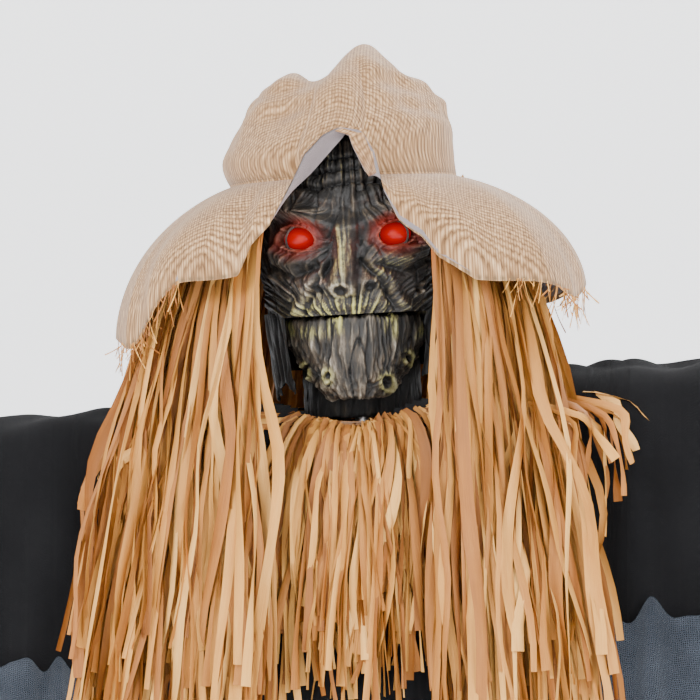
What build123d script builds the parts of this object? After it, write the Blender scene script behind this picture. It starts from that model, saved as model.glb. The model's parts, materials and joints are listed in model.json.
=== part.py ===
from build123d import *
from math import acos, cos, pi, radians, sin, sqrt, tan
import os

# Life-size animated scarecrow figure on a four-legged pole stand.
# Millimetres and degrees. Origin on the floor under the pole, +Z up, face towards -Y.

# ---- driving dimensions -------------------------------------------------------------
figure_height = 1830       # floor to the top of the hat
head_tilt = 3              # the head leans, its +X side higher
shoulder_tilt = 5          # the arms lean the same way

part_gap = 0.3             # between pieces that seat on each other
running_gap = 0.05         # radial, shafts in their bores

tube_wall = 1.5
pole_radius = 12.7
pole_sections = 3
spigot_length = 45
thumb_screw_radius = 2.5
thumb_head_radius = 7
thumb_head_length = 8

foot_reach = 330           # pole axis to the end of a foot
leg_radius = 11
foot_cap_radius = 15
foot_cap_length = 36
foot_pad_width = 24
hub_radius = 45
hub_height = 70
hub_clearance = 4          # floor to the underside of the hub
hub_floor = 12
leg_screw_radius = 3

block_half_width = 34
block_front = 34
block_height = 48
block_wall = 4
block_floor = 6
cover_thickness = 4
pole_boss_radius = 20
pole_boss_length = 40
arm_boss_radius = 17
arm_boss_reach = 62
bushing_radius = 12
bushing_flange = 16
neck_shaft_radius = 8
neck_socket_depth = 21

gear_module = 1.25
turn_teeth = 38
pinion_teeth = 12
jaw_teeth = 32
gear_width = 8
jaw_gear_width = 4.5
motor_radius = 12
motor_shaft_radius = 1.5
motor_room = 2.75           # between the turn motor and the wall behind it

bar_reach = 215            # pole axis to the open end of a shoulder bar
bar_arm_lap = 95
arm_reach = 575
wrist_disc_radius = 14
wrist_overhang = 21         # end of the arm tube to the wrist pivot
ear_thickness = 4
tongue_half = 8.6
trunnion_radius = 4
palm_length = 54
palm_half_height = 38
palm_half_thickness = 11
finger_length = 76
finger_radius = 8.5
finger_taper = 2.6

hat_height = 375           # neck top to the hat's peak
shell_wall = 3
skull_centre = -5          # the head's own middle, along Y
mouth_height = 107         # heights of the head are counted from the neck top
jaw_gap = 4
seam_place = 5
eye_height = 182
eye_spacing = 91
eye_radius = 15
jaw_hinge_height = 130
jaw_hinge_place = 10
jaw_wall = 5
jaw_pin_radius = 4
plate_height = 156
plate_thickness = 6
trunk_half_width = 58
trunk_half_depth = 36
trunk_centre = 18
trunk_bottom = 6
trunk_top = 105
screw_radius = 1.5

hat_seam = 238
cloth = 3
brim_cloth = 4
brim_half_width = 232
brim_half_depth = 195
brim_drop = 128
lining_thickness = 12

robe_top_half_width = 185
robe_top_half_depth = 85
robe_hem_half_width = 240
robe_hem_half_depth = 160
robe_hem = 90
robe_corner = 50
yoke_reach = 203
yoke_rise = 52
yoke_drop = 60
sleeve_reach = 560
sleeve_half_depth = 68
cuff_half_depth = 55
sleeve_drop = 330
cuff_drop = 260
neck_hole_radius = 80
collar_band_wall = 13
raffia = 8                 # thickness of a layer of straw
collar_half_width = 105
collar_drop = 260
shoulder_straw_reach = 290
hair_end = 1130
gauze_width = 190
gauze_drop = 240

box_half_width = 54
box_depth = 40
box_half_height = 45
box_wall = 2.5
box_drop = 230             # neck top to the middle of the control box
jack_bore_radius = 2.75
jack_bore_depth = 9
cell_radius = 7.2
cell_length = 50.5
cells = 3
door_half_width = 31.5
button_radius = 4
speaker_radius = 18

# ---- places worked out from the sizes above -----------------------------------------
neck_top = figure_height - hat_height
block_top = neck_top - 7
block_bottom = block_top - block_height
arm_height = block_bottom + 27
pole_bottom = hub_clearance + hub_floor
pole_top = block_bottom - part_gap - 2
section_length = (pole_top - pole_bottom) / pole_sections
leg_height = foot_cap_radius
leg_angles = (45, 135, 225, 315)
sides = (("left", -1), ("right", 1))
wrist_pivot_reach = arm_reach + wrist_overhang
pinion_place = gear_module * (turn_teeth + pinion_teeth) / 2
block_back = pinion_place + motor_radius + block_wall + motor_room
box_height = neck_top - box_drop

head = Plane(
    origin=(0, 0, neck_top),
    x_dir=(cos(radians(head_tilt)), 0, sin(radians(head_tilt))),
    z_dir=(-sin(radians(head_tilt)), 0, cos(radians(head_tilt))),
)
arms = Plane(
    origin=(0, 0, arm_height),
    x_dir=(cos(radians(shoulder_tilt)), 0, sin(radians(shoulder_tilt))),
    z_dir=(-sin(radians(shoulder_tilt)), 0, cos(radians(shoulder_tilt))),
)


def across(frame, x, y=0, z=0):
    """Plane facing along a frame's X: its own axes run to the back and up."""
    return Plane(frame.from_local_coords((x, y, z)), x_dir=frame.y_dir, z_dir=frame.x_dir)


def facing(frame, y, x=0, z=0):
    """Plane facing the front: its own axes run along the frame's X and up."""
    return Plane(frame.from_local_coords((x, y, z)), x_dir=frame.x_dir, z_dir=-frame.y_dir)


def leg_plane(angle, reach):
    """Plane square to one leg, at a distance from the pole."""
    out = Vector(cos(radians(angle)), sin(radians(angle)), 0)
    return Plane(out * reach + Vector(0, 0, leg_height), x_dir=(-out.Y, out.X, 0), z_dir=out)


def outline(points):
    """Closed straight-sided face through the points."""
    Polygon(*points, align=None)


def gear_points(teeth, first_tooth):
    """Outline of an involute spur gear with one tooth centred on first_tooth degrees."""
    pitch = gear_module * teeth / 2
    base = pitch * cos(radians(20))
    root = pitch - 1.2 * gear_module
    tip = pitch + 0.8 * gear_module
    thin = 0.42                                  # tooth share of a pitch, the rest is gap
    involute = lambda r: sqrt(max((r / base) ** 2 - 1, 0)) - acos(min(base / r, 1))
    half_at_pitch = thin * pi / teeth
    points = []
    flank = [max(root, base), pitch, tip]
    for tooth in range(teeth):
        middle = radians(first_tooth) + 2 * pi * tooth / teeth
        widths = [half_at_pitch + involute(pitch) - involute(r) for r in flank]
        ring = [(root, -widths[0] - 0.02)] + [(r, -w) for r, w in zip(flank, widths)]
        ring += [(r, w) for r, w in zip(flank[::-1], widths[::-1])] + [(root, widths[0] + 0.02)]
        points += [(r * cos(middle + a), r * sin(middle + a)) for r, a in ring]
    return points


def save(piece, name):
    """Label a finished piece and write it."""
    piece.part.label = name
    export_step(piece.part, f"parts/{name}.step")


os.makedirs("parts", exist_ok=True)

# ======== stand ======================================================================

# Moulded hub: a blind socket for the pole and one radial socket for each leg.
with BuildPart() as base_hub:
    with BuildSketch(Plane.XY.offset(hub_clearance)):
        Circle(hub_radius)
    extrude(amount=hub_height)
    chamfer(base_hub.edges().group_by(Axis.Z)[-1], 6)
    with Locations((0, 0, hub_clearance + hub_height)):
        Hole(pole_radius + part_gap, depth=hub_height - hub_floor)
    for angle in leg_angles:
        with BuildSketch(leg_plane(angle, 19)):
            Circle(leg_radius + part_gap)
        extrude(amount=hub_radius, mode=Mode.SUBTRACT)
        with BuildSketch(Plane.XY.offset(leg_height).rotated((0, 0, angle))):
            with Locations((32, 0)):
                Circle(leg_screw_radius + part_gap)
        extrude(amount=hub_height, mode=Mode.SUBTRACT)
save(base_hub, "base_hub")

# Four round steel legs in the hub's sockets.
with BuildPart() as base_legs:
    for angle in leg_angles:
        with BuildSketch(leg_plane(angle, 20)):
            Circle(leg_radius)
            Circle(leg_radius - tube_wall, mode=Mode.SUBTRACT)
        extrude(amount=foot_reach - 4 - 20)
        with BuildSketch(Plane.XY.offset(leg_height).rotated((0, 0, angle))):
            with Locations((32, 0)):
                Circle(leg_screw_radius + part_gap)
        extrude(amount=2 * leg_radius, mode=Mode.SUBTRACT)
save(base_legs, "base_legs")

# Rubber feet pushed over the ends of the legs, each flat underneath.
with BuildPart() as foot_caps:
    for angle in leg_angles:
        with BuildSketch(leg_plane(angle, foot_reach - foot_cap_length)):
            Circle(foot_cap_radius)
        extrude(amount=foot_cap_length)
        with BuildSketch(Plane.XY.rotated((0, 0, angle))):
            with Locations((foot_reach - foot_cap_length / 2, 0)):
                Rectangle(foot_cap_length, foot_pad_width)
        extrude(amount=foot_cap_radius)
        with BuildSketch(leg_plane(angle, foot_reach - foot_cap_length)):
            Circle(leg_radius + part_gap)
        extrude(amount=foot_cap_length - 4 + part_gap, mode=Mode.SUBTRACT)
save(foot_caps, "foot_caps")

# Screws down through the hub into the legs.
with BuildPart() as leg_screws:
    for angle in leg_angles:
        with BuildSketch(Plane.XY.offset(leg_height + 6).rotated((0, 0, angle))):
            with Locations((32, 0)):
                Circle(leg_screw_radius)
        extrude(amount=hub_clearance + hub_height - leg_height - 6)
        with BuildSketch(Plane.XY.offset(hub_clearance + hub_height).rotated((0, 0, angle))):
            with Locations((32, 0)):
                Circle(2 * leg_screw_radius)
        extrude(amount=5)
save(leg_screws, "leg_screws")

# Three pole sections: a narrowed spigot on the lower two enters the one above.
pole_ends = [pole_bottom + section_length * n for n in range(pole_sections + 1)]
screw_height = spigot_length / 2
for number, name in enumerate(("lower_pole", "middle_pole", "upper_pole")):
    low, high = pole_ends[number], pole_ends[number + 1]
    inside = pole_radius - tube_wall
    with BuildPart() as pole:
        with BuildSketch(Plane.XZ):
            if number < pole_sections - 1:
                spigot = inside - part_gap
                outline([
                    (pole_radius, low), (pole_radius, high), (spigot, high),
                    (spigot, high + spigot_length), (spigot - tube_wall, high + spigot_length),
                    (spigot - tube_wall, high - 8), (inside, high - 14), (inside, low),
                ])
            else:
                outline([(pole_radius, low), (pole_radius, high), (inside, high), (inside, low)])
        revolve(axis=Axis.Z)
        for joint in (low, high):
            if pole_bottom < joint < pole_top - 1:
                with BuildSketch(facing(Plane.XY, 0, z=joint + screw_height)):
                    Circle(thumb_screw_radius + part_gap)
                extrude(amount=2 * pole_radius, mode=Mode.SUBTRACT)
    save(pole, name)

# Thumb screws: one at each pole joint and one at the end of each shoulder bar.
arm_radius = pole_radius - tube_wall - running_gap
screw_places = [(Plane.XY, 0, end + screw_height, pole_radius - 5) for end in pole_ends[1:-1]]
screw_places += [(arms, side * (bar_reach - 15), 0, arm_radius + 0.1) for _, side in sides]
with BuildPart() as thumb_screws:
    for frame, x, z, tip in screw_places:
        with BuildSketch(facing(frame, -tip, x, z)):
            Circle(thumb_screw_radius)
        extrude(amount=pole_radius - tip + thumb_head_length)
        with BuildSketch(facing(frame, -pole_radius - part_gap, x, z)):
            RegularPolygon(thumb_head_radius, 8)
        extrude(amount=thumb_head_length)
save(thumb_screws, "thumb_screws")

# ======== torso block and head-turn drive ============================================
block_middle = (block_back - block_front) / 2
block_length = block_back + block_front
gear_bottom = block_top - 4 - gear_width

# Open-topped block on the pole, with a socket each side for the arms.
with BuildPart() as torso_block:
    with BuildSketch(Plane.XY.offset(block_bottom)):
        with Locations((0, block_middle)):
            RectangleRounded(2 * block_half_width, block_length, 6)
    extrude(amount=block_height)
    with BuildSketch(Plane.XY.offset(block_bottom - pole_boss_length)):
        Circle(pole_boss_radius)
    extrude(amount=pole_boss_length)
    for _, side in sides:
        with BuildSketch(across(arms, side * (block_half_width - 3))):
            Circle(arm_boss_radius)
        extrude(amount=side * (arm_boss_reach - block_half_width + 3))
    with BuildSketch(Plane.XY.offset(block_bottom + block_floor)):
        with Locations((0, block_middle)):
            RectangleRounded(2 * (block_half_width - block_wall), block_length - 2 * block_wall, 4)
    extrude(amount=block_height, mode=Mode.SUBTRACT)
    for _, side in sides:
        with BuildSketch(across(arms, side * (block_half_width + 4))):
            Circle(pole_radius + part_gap)
        extrude(amount=side * arm_boss_reach, mode=Mode.SUBTRACT)
    with BuildSketch(Plane.XY.offset(block_bottom - pole_boss_length)):
        Circle(pole_radius + part_gap)
    extrude(amount=pole_boss_length - 2, mode=Mode.SUBTRACT)
    with BuildSketch(Plane.XY.offset(block_bottom + 2)):
        Circle(neck_shaft_radius + running_gap)
    extrude(amount=block_floor, mode=Mode.SUBTRACT)
    with BuildSketch(Plane.XY.offset(block_top - 10)):
        for x in (-1, 1):
            with Locations((x * (block_half_width - 2), -block_front + 2),
                           (x * (block_half_width - 2), block_back - 2)):
                Circle(4)
    extrude(amount=10)
    with BuildSketch(Plane.XY.offset(block_top - 10)):
        for x in (-1, 1):
            with Locations((x * (block_half_width - 2), -block_front + 2),
                           (x * (block_half_width - 2), block_back - 2)):
                Circle(screw_radius + part_gap)
    extrude(amount=10, mode=Mode.SUBTRACT)
save(torso_block, "torso_block")

# Flat lid over the gears.
with BuildPart() as torso_cover:
    with BuildSketch(Plane.XY.offset(block_top)):
        with Locations((0, block_middle)):
            RectangleRounded(2 * block_half_width + 4, block_length + 4, 8)
        Circle(bushing_radius + part_gap, mode=Mode.SUBTRACT)
        for x in (-1, 1):
            with Locations((x * (block_half_width - 2), -block_front + 2),
                           (x * (block_half_width - 2), block_back - 2)):
                Circle(screw_radius + part_gap, mode=Mode.SUBTRACT)
    extrude(amount=cover_thickness)
save(torso_cover, "torso_cover")

# Flanged bush that carries the neck shaft in the lid.
with BuildPart() as neck_bushing:
    with BuildSketch(Plane.XY.offset(block_top - 3)):
        Circle(bushing_radius)
    extrude(amount=cover_thickness + 3)
    with BuildSketch(Plane.XY.offset(block_top + cover_thickness)):
        Circle(bushing_flange)
    extrude(amount=2)
    with BuildSketch(Plane.XY.offset(block_top - 3)):
        Circle(neck_shaft_radius + running_gap)
    extrude(amount=cover_thickness + 5, mode=Mode.SUBTRACT)
save(neck_bushing, "neck_bushing")

# Steel shaft that turns the head.
shaft_end = neck_top + 11 + neck_socket_depth
with BuildPart() as neck_shaft:
    with BuildSketch(Plane.XY.offset(block_bottom + 2 + part_gap)):
        Circle(neck_shaft_radius)
    extrude(amount=shaft_end - block_bottom - 2 - part_gap)
save(neck_shaft, "neck_shaft")

# Spur gear on the shaft.
with BuildPart() as turn_gear:
    with BuildSketch(Plane.XY.offset(gear_bottom)):
        outline(gear_points(turn_teeth, 90))
        Circle(neck_shaft_radius + 0.02, mode=Mode.SUBTRACT)
    extrude(amount=gear_width)
save(turn_gear, "turn_gear")

# Gear motor standing on the block's floor, with a socket for its output shaft.
motor_top = gear_bottom - 3
with BuildPart() as turn_motor:
    with BuildSketch(Plane.XY.offset(block_bottom + block_floor)):
        with Locations((0, pinion_place)):
            Circle(motor_radius)
    extrude(amount=motor_top - block_bottom - block_floor)
    with BuildSketch(Plane.XY.offset(motor_top - 10)):
        with Locations((0, pinion_place)):
            Circle(motor_shaft_radius + running_gap)
    extrude(amount=10, mode=Mode.SUBTRACT)
save(turn_motor, "turn_motor")

# Motor pinion on its output shaft, in mesh with the gear.
with BuildPart() as turn_pinion:
    with BuildSketch(Plane.XY.offset(gear_bottom).shift_origin((0, pinion_place, gear_bottom))):
        outline(gear_points(pinion_teeth, -90 + 180 / pinion_teeth))
    extrude(amount=gear_width)
    with BuildSketch(Plane.XY.offset(motor_top - 9)):
        with Locations((0, pinion_place)):
            Circle(motor_shaft_radius)
    extrude(amount=gear_bottom - motor_top + 10)
save(turn_pinion, "turn_pinion")

# ======== arms =======================================================================

# Stub tubes in the block's sockets.
with BuildPart() as shoulder_bars:
    for _, side in sides:
        inner_end = block_half_width + 4 + part_gap
        with BuildSketch(across(arms, side * inner_end)):
            Circle(pole_radius)
            Circle(pole_radius - tube_wall, mode=Mode.SUBTRACT)
        extrude(amount=side * (bar_reach - inner_end))
        with BuildSketch(facing(arms, 0, side * (bar_reach - 15))):
            Circle(thumb_screw_radius + part_gap)
        extrude(amount=2 * pole_radius, mode=Mode.SUBTRACT)
save(shoulder_bars, "shoulder_bars")

fork_start = arm_reach
ear_start = fork_start + 8
ear_end = wrist_pivot_reach + 9
ear_inner = tongue_half + 0.4
for name, side in sides:
    # Arm tube that twists in its shoulder bar and ends in a two-eared fork.
    with BuildPart() as arm_tube:
        start = bar_reach - bar_arm_lap
        with BuildSketch(across(arms, side * start)):
            Circle(arm_radius)
            Circle(arm_radius - tube_wall, mode=Mode.SUBTRACT)
        extrude(amount=side * (fork_start - start))
        with BuildSketch(across(arms, side * fork_start)):
            Circle(wrist_disc_radius)
        extrude(amount=side * 8)
        for y in (-1, 1):
            with BuildSketch(across(arms, side * ear_start)):
                with Locations((y * (ear_inner + ear_thickness / 2), 0)):
                    Rectangle(ear_thickness, 24)
            extrude(amount=side * (ear_end - ear_start))
        with BuildSketch(facing(arms, ear_inner + ear_thickness, side * wrist_pivot_reach)):
            Circle(trunnion_radius + running_gap)
        extrude(amount=2 * (ear_inner + ear_thickness), mode=Mode.SUBTRACT)
    save(arm_tube, f"arm_tube_{name}")

    # Gnarled hand: its tongue snaps into the fork on two trunnions.
    palm_start = wrist_pivot_reach + 18
    with BuildPart() as hand:
        with BuildSketch(facing(arms, tongue_half, side * wrist_pivot_reach)):
            Circle(9)
            with Locations((side * 11, 0)):
                Rectangle(22, 16)
        extrude(amount=2 * tongue_half)
        with BuildSketch(facing(arms, ear_inner + ear_thickness - 0.5, side * wrist_pivot_reach)):
            Circle(trunnion_radius)
        extrude(amount=2 * (ear_inner + ear_thickness - 0.5))
        with BuildSketch(across(arms, side * palm_start)):
            RectangleRounded(1.6 * palm_half_thickness, 1.2 * palm_half_height, 5)
        with BuildSketch(across(arms, side * (palm_start + palm_length))):
            RectangleRounded(2 * palm_half_thickness, 2 * palm_half_height, 5)
        loft(ruled=True)
        for finger in range(4):
            spread = (finger - 1.5) * 7
            root_place = (side * (palm_start + palm_length - 4), 0, (finger - 1.5) * 19)
            along = Vector(side * cos(radians(spread)), 0, sin(radians(spread)))
            origin = arms.from_local_coords(root_place)
            direction = arms.from_local_coords(tuple(Vector(*root_place) + along)) - origin
            with BuildSketch(Plane(origin, x_dir=(0, 1, 0), z_dir=direction)):
                Circle(finger_radius)
            extrude(amount=finger_length - 6 * abs(finger - 1.5), taper=finger_taper)
        thumb_root = (side * (palm_start + 22), -4, palm_half_height - 12)
        thumb_way = Vector(side * 0.75, -0.25, 0.6)
        origin = arms.from_local_coords(thumb_root)
        direction = arms.from_local_coords(tuple(Vector(*thumb_root) + thumb_way)) - origin
        with BuildSketch(Plane(origin, x_dir=(0, 1, 0), z_dir=direction)):
            Circle(finger_radius + 1)
        extrude(amount=60, taper=finger_taper)
    save(hand, f"hand_{name}")

# ======== head =======================================================================

# Heights above the neck and the half width and half depth of the skull there.
skull_sections = ((45, 70, 74), (105, 86, 95), (165, 90, 102), (225, 84, 98), (275, 62, 74),
                  (293, 30, 36))


def skull(grow):
    """The head's rounded solid, its sections grown by an amount."""
    with BuildPart() as form:
        for height, half_width, half_depth in skull_sections:
            with BuildSketch(head.offset(height + (grow if height == 293 else 0))):
                with Locations((0, skull_centre)):
                    Ellipse(half_width + grow, half_depth + grow)
        loft()
    return form.part


skull_outer = skull(0)
skull_inner = skull(-shell_wall)
skull_clear = skull(-shell_wall - part_gap)
skull_rests = skull(part_gap)
nose_top = (0, skull_centre - 90, 200)
nose_end = (0, skull_centre - 112, 145)
screw_rows = (0, 30)
screw_row_height = plate_height + plate_thickness / 2


def shell_width(y):
    """Half width of the skull beside its screws."""
    return 90 * sqrt(1 - ((y - skull_centre) / 102) ** 2)


# Mask with two round eye openings and a stub nose, cut off along the mouth.
with BuildPart() as face_shell:
    add(skull_outer)
    nose_origin = head.from_local_coords(nose_top)
    nose_way = head.from_local_coords(nose_end) - nose_origin
    with BuildSketch(Plane(nose_origin, x_dir=head.x_dir, z_dir=nose_way)):
        Circle(7)
    extrude(amount=nose_way.length, taper=-5)
    add(skull_inner, mode=Mode.SUBTRACT)
    split(bisect_by=facing(head, seam_place), keep=Keep.TOP)
    split(bisect_by=head.offset(mouth_height), keep=Keep.TOP)
    for _, side in sides:
        with BuildSketch(facing(head, 0, side * eye_spacing / 2, eye_height)):
            Circle(eye_radius + part_gap)
        extrude(amount=150, mode=Mode.SUBTRACT)
        with BuildSketch(across(head, side * 50, screw_rows[0], screw_row_height)):
            Circle(screw_radius + part_gap)
        extrude(amount=side * 60, mode=Mode.SUBTRACT)
save(face_shell, "face_shell")

# Back of the head, cut back low down to leave the jaw room to swing.
with BuildPart() as back_shell:
    add(skull_outer)
    add(skull_inner, mode=Mode.SUBTRACT)
    split(bisect_by=facing(head, seam_place + part_gap), keep=Keep.BOTTOM)
    split(bisect_by=head.offset(55), keep=Keep.TOP)
    with BuildSketch(across(head, -120)):
        with Locations((0, mouth_height / 2)):
            Rectangle(56, mouth_height)
    extrude(amount=240, mode=Mode.SUBTRACT)
    for _, side in sides:
        with BuildSketch(across(head, side * 50, screw_rows[1], screw_row_height)):
            Circle(screw_radius + part_gap)
        extrude(amount=side * 60, mode=Mode.SUBTRACT)
save(back_shell, "back_shell")

# Frame inside the head: boss on the neck shaft, post, cross plate and two jaw lugs.
boss_bottom = neck_top + 11
lug_inner, lug_outer = 56, 60
with BuildPart() as skull_bracket:
    with BuildSketch(head.offset(plate_height)):
        with Locations((0, 24)):
            Rectangle(2 * trunk_half_width + 80, 58)
    extrude(amount=plate_thickness)
    add(skull_clear, mode=Mode.INTERSECT)
    with BuildSketch(head.offset(25)):
        Rectangle(20, 18)
    extrude(amount=plate_height - 24)
    for _, side in sides:
        with BuildSketch(across(head, side * lug_inner, jaw_hinge_place)):
            with Locations((0, (plate_height + 118) / 2)):
                Rectangle(20, plate_height - 118 + 2)
            with Locations((0, jaw_hinge_height)):
                Circle(jaw_pin_radius + 0.02, mode=Mode.SUBTRACT)
        extrude(amount=side * (lug_outer - lug_inner))
        for row in screw_rows:
            with BuildSketch(across(head, side * 60, row, screw_row_height)):
                Circle(screw_radius + part_gap / 2)
            extrude(amount=side * 60, mode=Mode.SUBTRACT)
    with BuildSketch(Plane.XY.offset(boss_bottom)):
        Circle(14)
    extrude(amount=26)
    with BuildSketch(Plane.XY.offset(boss_bottom)):
        Circle(neck_shaft_radius + 0.02)
    extrude(amount=neck_socket_depth + part_gap, mode=Mode.SUBTRACT)
save(skull_bracket, "skull_bracket")

# Screws through the shells into the cross plate.
with BuildPart() as shell_screws:
    for _, side in sides:
        for row in screw_rows:
            with BuildSketch(across(head, side * (shell_width(row) - 18), row, screw_row_height)):
                Circle(screw_radius)
            extrude(amount=side * 19.4)
            with BuildSketch(across(head, side * (shell_width(row) + 1.4), row, screw_row_height)):
                Circle(2 * screw_radius)
            extrude(amount=side * 2)
save(shell_screws, "shell_screws")

# Bark neck that stands on a floor plate around the shaft.
with BuildPart() as neck_trunk:
    with BuildSketch(head.offset(trunk_bottom)):
        with Locations((0, trunk_centre)):
            Ellipse(trunk_half_width, trunk_half_depth)
    extrude(amount=trunk_top - trunk_bottom)
    with BuildSketch(head.offset(trunk_bottom + 3)):
        with Locations((0, trunk_centre)):
            Ellipse(trunk_half_width - shell_wall, trunk_half_depth - shell_wall)
    extrude(amount=trunk_top, mode=Mode.SUBTRACT)
    with BuildSketch(Plane.XY.offset(neck_top)):
        Circle(neck_shaft_radius + part_gap)
    extrude(amount=20, mode=Mode.SUBTRACT)
save(neck_trunk, "neck_trunk")

# Cups in the eye openings, the red domes in them and a lamp behind each.
eye_front = skull_centre - 88
cup_depth = 26
with BuildPart() as eye_sockets:
    for _, side in sides:
        with BuildSketch(facing(head, eye_front + cup_depth, side * eye_spacing / 2, eye_height)):
            Circle(eye_radius)
        extrude(amount=cup_depth)
        with BuildSketch(facing(head, eye_front + cup_depth - 3, side * eye_spacing / 2, eye_height)):
            Circle(eye_radius - 2)
        extrude(amount=cup_depth, mode=Mode.SUBTRACT)
        with BuildSketch(facing(head, eye_front + cup_depth, side * eye_spacing / 2, eye_height)):
            Circle(2.8)
        extrude(amount=cup_depth, mode=Mode.SUBTRACT)
save(eye_sockets, "eye_sockets")

lens_radius = eye_radius - 2 - part_gap
lens_back = eye_front + 10
with BuildPart() as eye_lenses:
    for _, side in sides:
        with BuildSketch(facing(head, lens_back, side * eye_spacing / 2, eye_height)):
            Circle(lens_radius)
        extrude(amount=6)
        with BuildSketch(facing(head, lens_back - 6, side * eye_spacing / 2, eye_height)):
            Circle(lens_radius)
        extrude(amount=7, taper=40)
save(eye_lenses, "eye_lenses")

with BuildPart() as eye_leds:
    for _, side in sides:
        with BuildSketch(facing(head, eye_front + cup_depth + 5, side * eye_spacing / 2, eye_height)):
            Circle(2.5)
        extrude(amount=14)
        with BuildSketch(facing(head, eye_front + cup_depth + 5, side * eye_spacing / 2, eye_height)):
            Circle(5)
        extrude(amount=5 - part_gap)
save(eye_leds, "eye_leds")

# Hinge pins of the jaw, fixed in the lugs.
pin_inner, pin_outer = 52, 74
with BuildPart() as hinge_pins:
    for _, side in sides:
        with BuildSketch(across(head, side * pin_inner, jaw_hinge_place, jaw_hinge_height)):
            Circle(jaw_pin_radius)
        extrude(amount=side * (pin_outer - pin_inner))
save(hinge_pins, "hinge_pins")

# Ragged jaw: a curved plate hung on two side arms.
arm_inner, arm_outer = 62, 67.5
jaw_sections = ((27, 34, 80), (60, 58, 90), (mouth_height - jaw_gap, 69, 92))


def jaw_form(shrink):
    """Rounded solid of the jaw, its sections shrunk by an amount."""
    with BuildPart() as form:
        for height, half_width, half_depth in jaw_sections:
            with BuildSketch(head.offset(height)):
                with Locations((0, skull_centre)):
                    Ellipse(half_width - shrink, half_depth - shrink)
        loft()
    return form.part


jaw_outer = jaw_form(0)
jaw_inner = jaw_form(jaw_wall)
with BuildPart() as jaw_shell:
    add(jaw_outer)
    add(jaw_inner, mode=Mode.SUBTRACT)
    rear_low = head.from_local_coords((0, -50, 27))
    rear_up = head.from_local_coords((0, -8, mouth_height - jaw_gap)) - rear_low
    split(bisect_by=Plane(rear_low, x_dir=head.x_dir, z_dir=rear_up.cross(head.x_dir)), keep=Keep.BOTTOM)
    for _, side in sides:
        with BuildSketch(across(head, side * arm_inner, jaw_hinge_place, jaw_hinge_height)):
            Circle(10)
            outline([(-9, 5), (7, -8), (-18, -50), (-44, -50), (-40, -27)])
            Circle(jaw_pin_radius + running_gap, mode=Mode.SUBTRACT)
        extrude(amount=side * (arm_outer - arm_inner))
save(jaw_shell, "jaw_shell")

# Gear fixed to the jaw's left arm, its motor and pinion behind it.
jaw_pinion_place = jaw_hinge_place + gear_module * (jaw_teeth + pinion_teeth) / 2
with BuildPart() as jaw_gear:
    with BuildSketch(across(head, -arm_outer - jaw_gear_width, jaw_hinge_place, jaw_hinge_height)):
        outline(gear_points(jaw_teeth, 0))
        Circle(jaw_pin_radius + running_gap, mode=Mode.SUBTRACT)
    extrude(amount=jaw_gear_width)
save(jaw_gear, "jaw_gear")

jaw_motor_near, jaw_motor_far = -20, -54
with BuildPart() as jaw_motor:
    with BuildSketch(across(head, jaw_motor_near, jaw_pinion_place, jaw_hinge_height)):
        with Locations((0, (plate_height - part_gap - jaw_hinge_height - 14) / 2)):
            Rectangle(26, plate_height - part_gap - jaw_hinge_height + 14)
    extrude(amount=jaw_motor_far - jaw_motor_near)
    with BuildSketch(across(head, jaw_motor_far, jaw_pinion_place, jaw_hinge_height)):
        Circle(motor_shaft_radius + running_gap)
    extrude(amount=10, mode=Mode.SUBTRACT)
save(jaw_motor, "jaw_motor")

with BuildPart() as jaw_pinion:
    with BuildSketch(across(head, -arm_outer - jaw_gear_width, jaw_pinion_place, jaw_hinge_height)):
        outline(gear_points(pinion_teeth, 180 + 180 / pinion_teeth))
    extrude(amount=jaw_gear_width)
    with BuildSketch(across(head, -arm_outer - jaw_gear_width, jaw_pinion_place, jaw_hinge_height)):
        Circle(motor_shaft_radius)
    extrude(amount=arm_outer + jaw_gear_width + jaw_motor_far + 9)
save(jaw_pinion, "jaw_pinion")

# ======== hat and hair ===============================================================
crown_sections = ((hat_seam, 112, 115), (290, 112, 112), (325, 88, 90), (355, 52, 55),
                  (hat_height, 15, 18))


def crown(shrink):
    """Rounded solid of the crown, shrunk by an amount except at its open end."""
    with BuildPart() as form:
        for height, half_width, half_depth in crown_sections:
            drop = 0 if height == hat_seam else shrink
            with BuildSketch(head.offset(height - drop)):
                Ellipse(half_width - shrink, half_depth - shrink)
        loft()
    return form.part


crown_outer = crown(0)
crown_inner = crown(cloth)
with BuildPart() as hat_crown:
    add(crown_outer)
    add(crown_inner, mode=Mode.SUBTRACT)
save(hat_crown, "hat_crown")

# Drooping brim, open in front over the face like the flaps of a tent.
brim_low = hat_seam - brim_drop
brim_sections = ((hat_seam - part_gap, 112, 115), (brim_low, brim_half_width, brim_half_depth))
with BuildPart() as hat_brim:
    for height, half_width, half_depth in brim_sections:
        with BuildSketch(head.offset(height)):
            Ellipse(half_width, half_depth)
    loft(ruled=True)
    for height, half_width, half_depth in brim_sections:
        with BuildSketch(head.offset(height)):
            Ellipse(half_width - brim_cloth, half_depth - brim_cloth)
    loft(ruled=True, mode=Mode.SUBTRACT)
    with BuildSketch(facing(head, 0)):
        outline([(-28, hat_seam + 5), (-72, hat_seam - 50), (-90, hat_seam - 72),
                 (-150, brim_low - 5), (150, brim_low - 5), (100, hat_seam - 80),
                 (76, hat_seam - 50), (28, hat_seam + 5)])
    extrude(amount=brim_half_depth + 20, mode=Mode.SUBTRACT)
save(hat_brim, "hat_brim")

# Foam ring that seats the hat on the skull.
with BuildPart() as hat_lining:
    with BuildSketch(head.offset(hat_seam + 2)):
        Ellipse(112 - cloth - part_gap - 1, 112 - cloth - part_gap - 1)
    extrude(amount=lining_thickness)
    add(skull_rests, mode=Mode.SUBTRACT)
save(hat_lining, "hat_lining")


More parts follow.
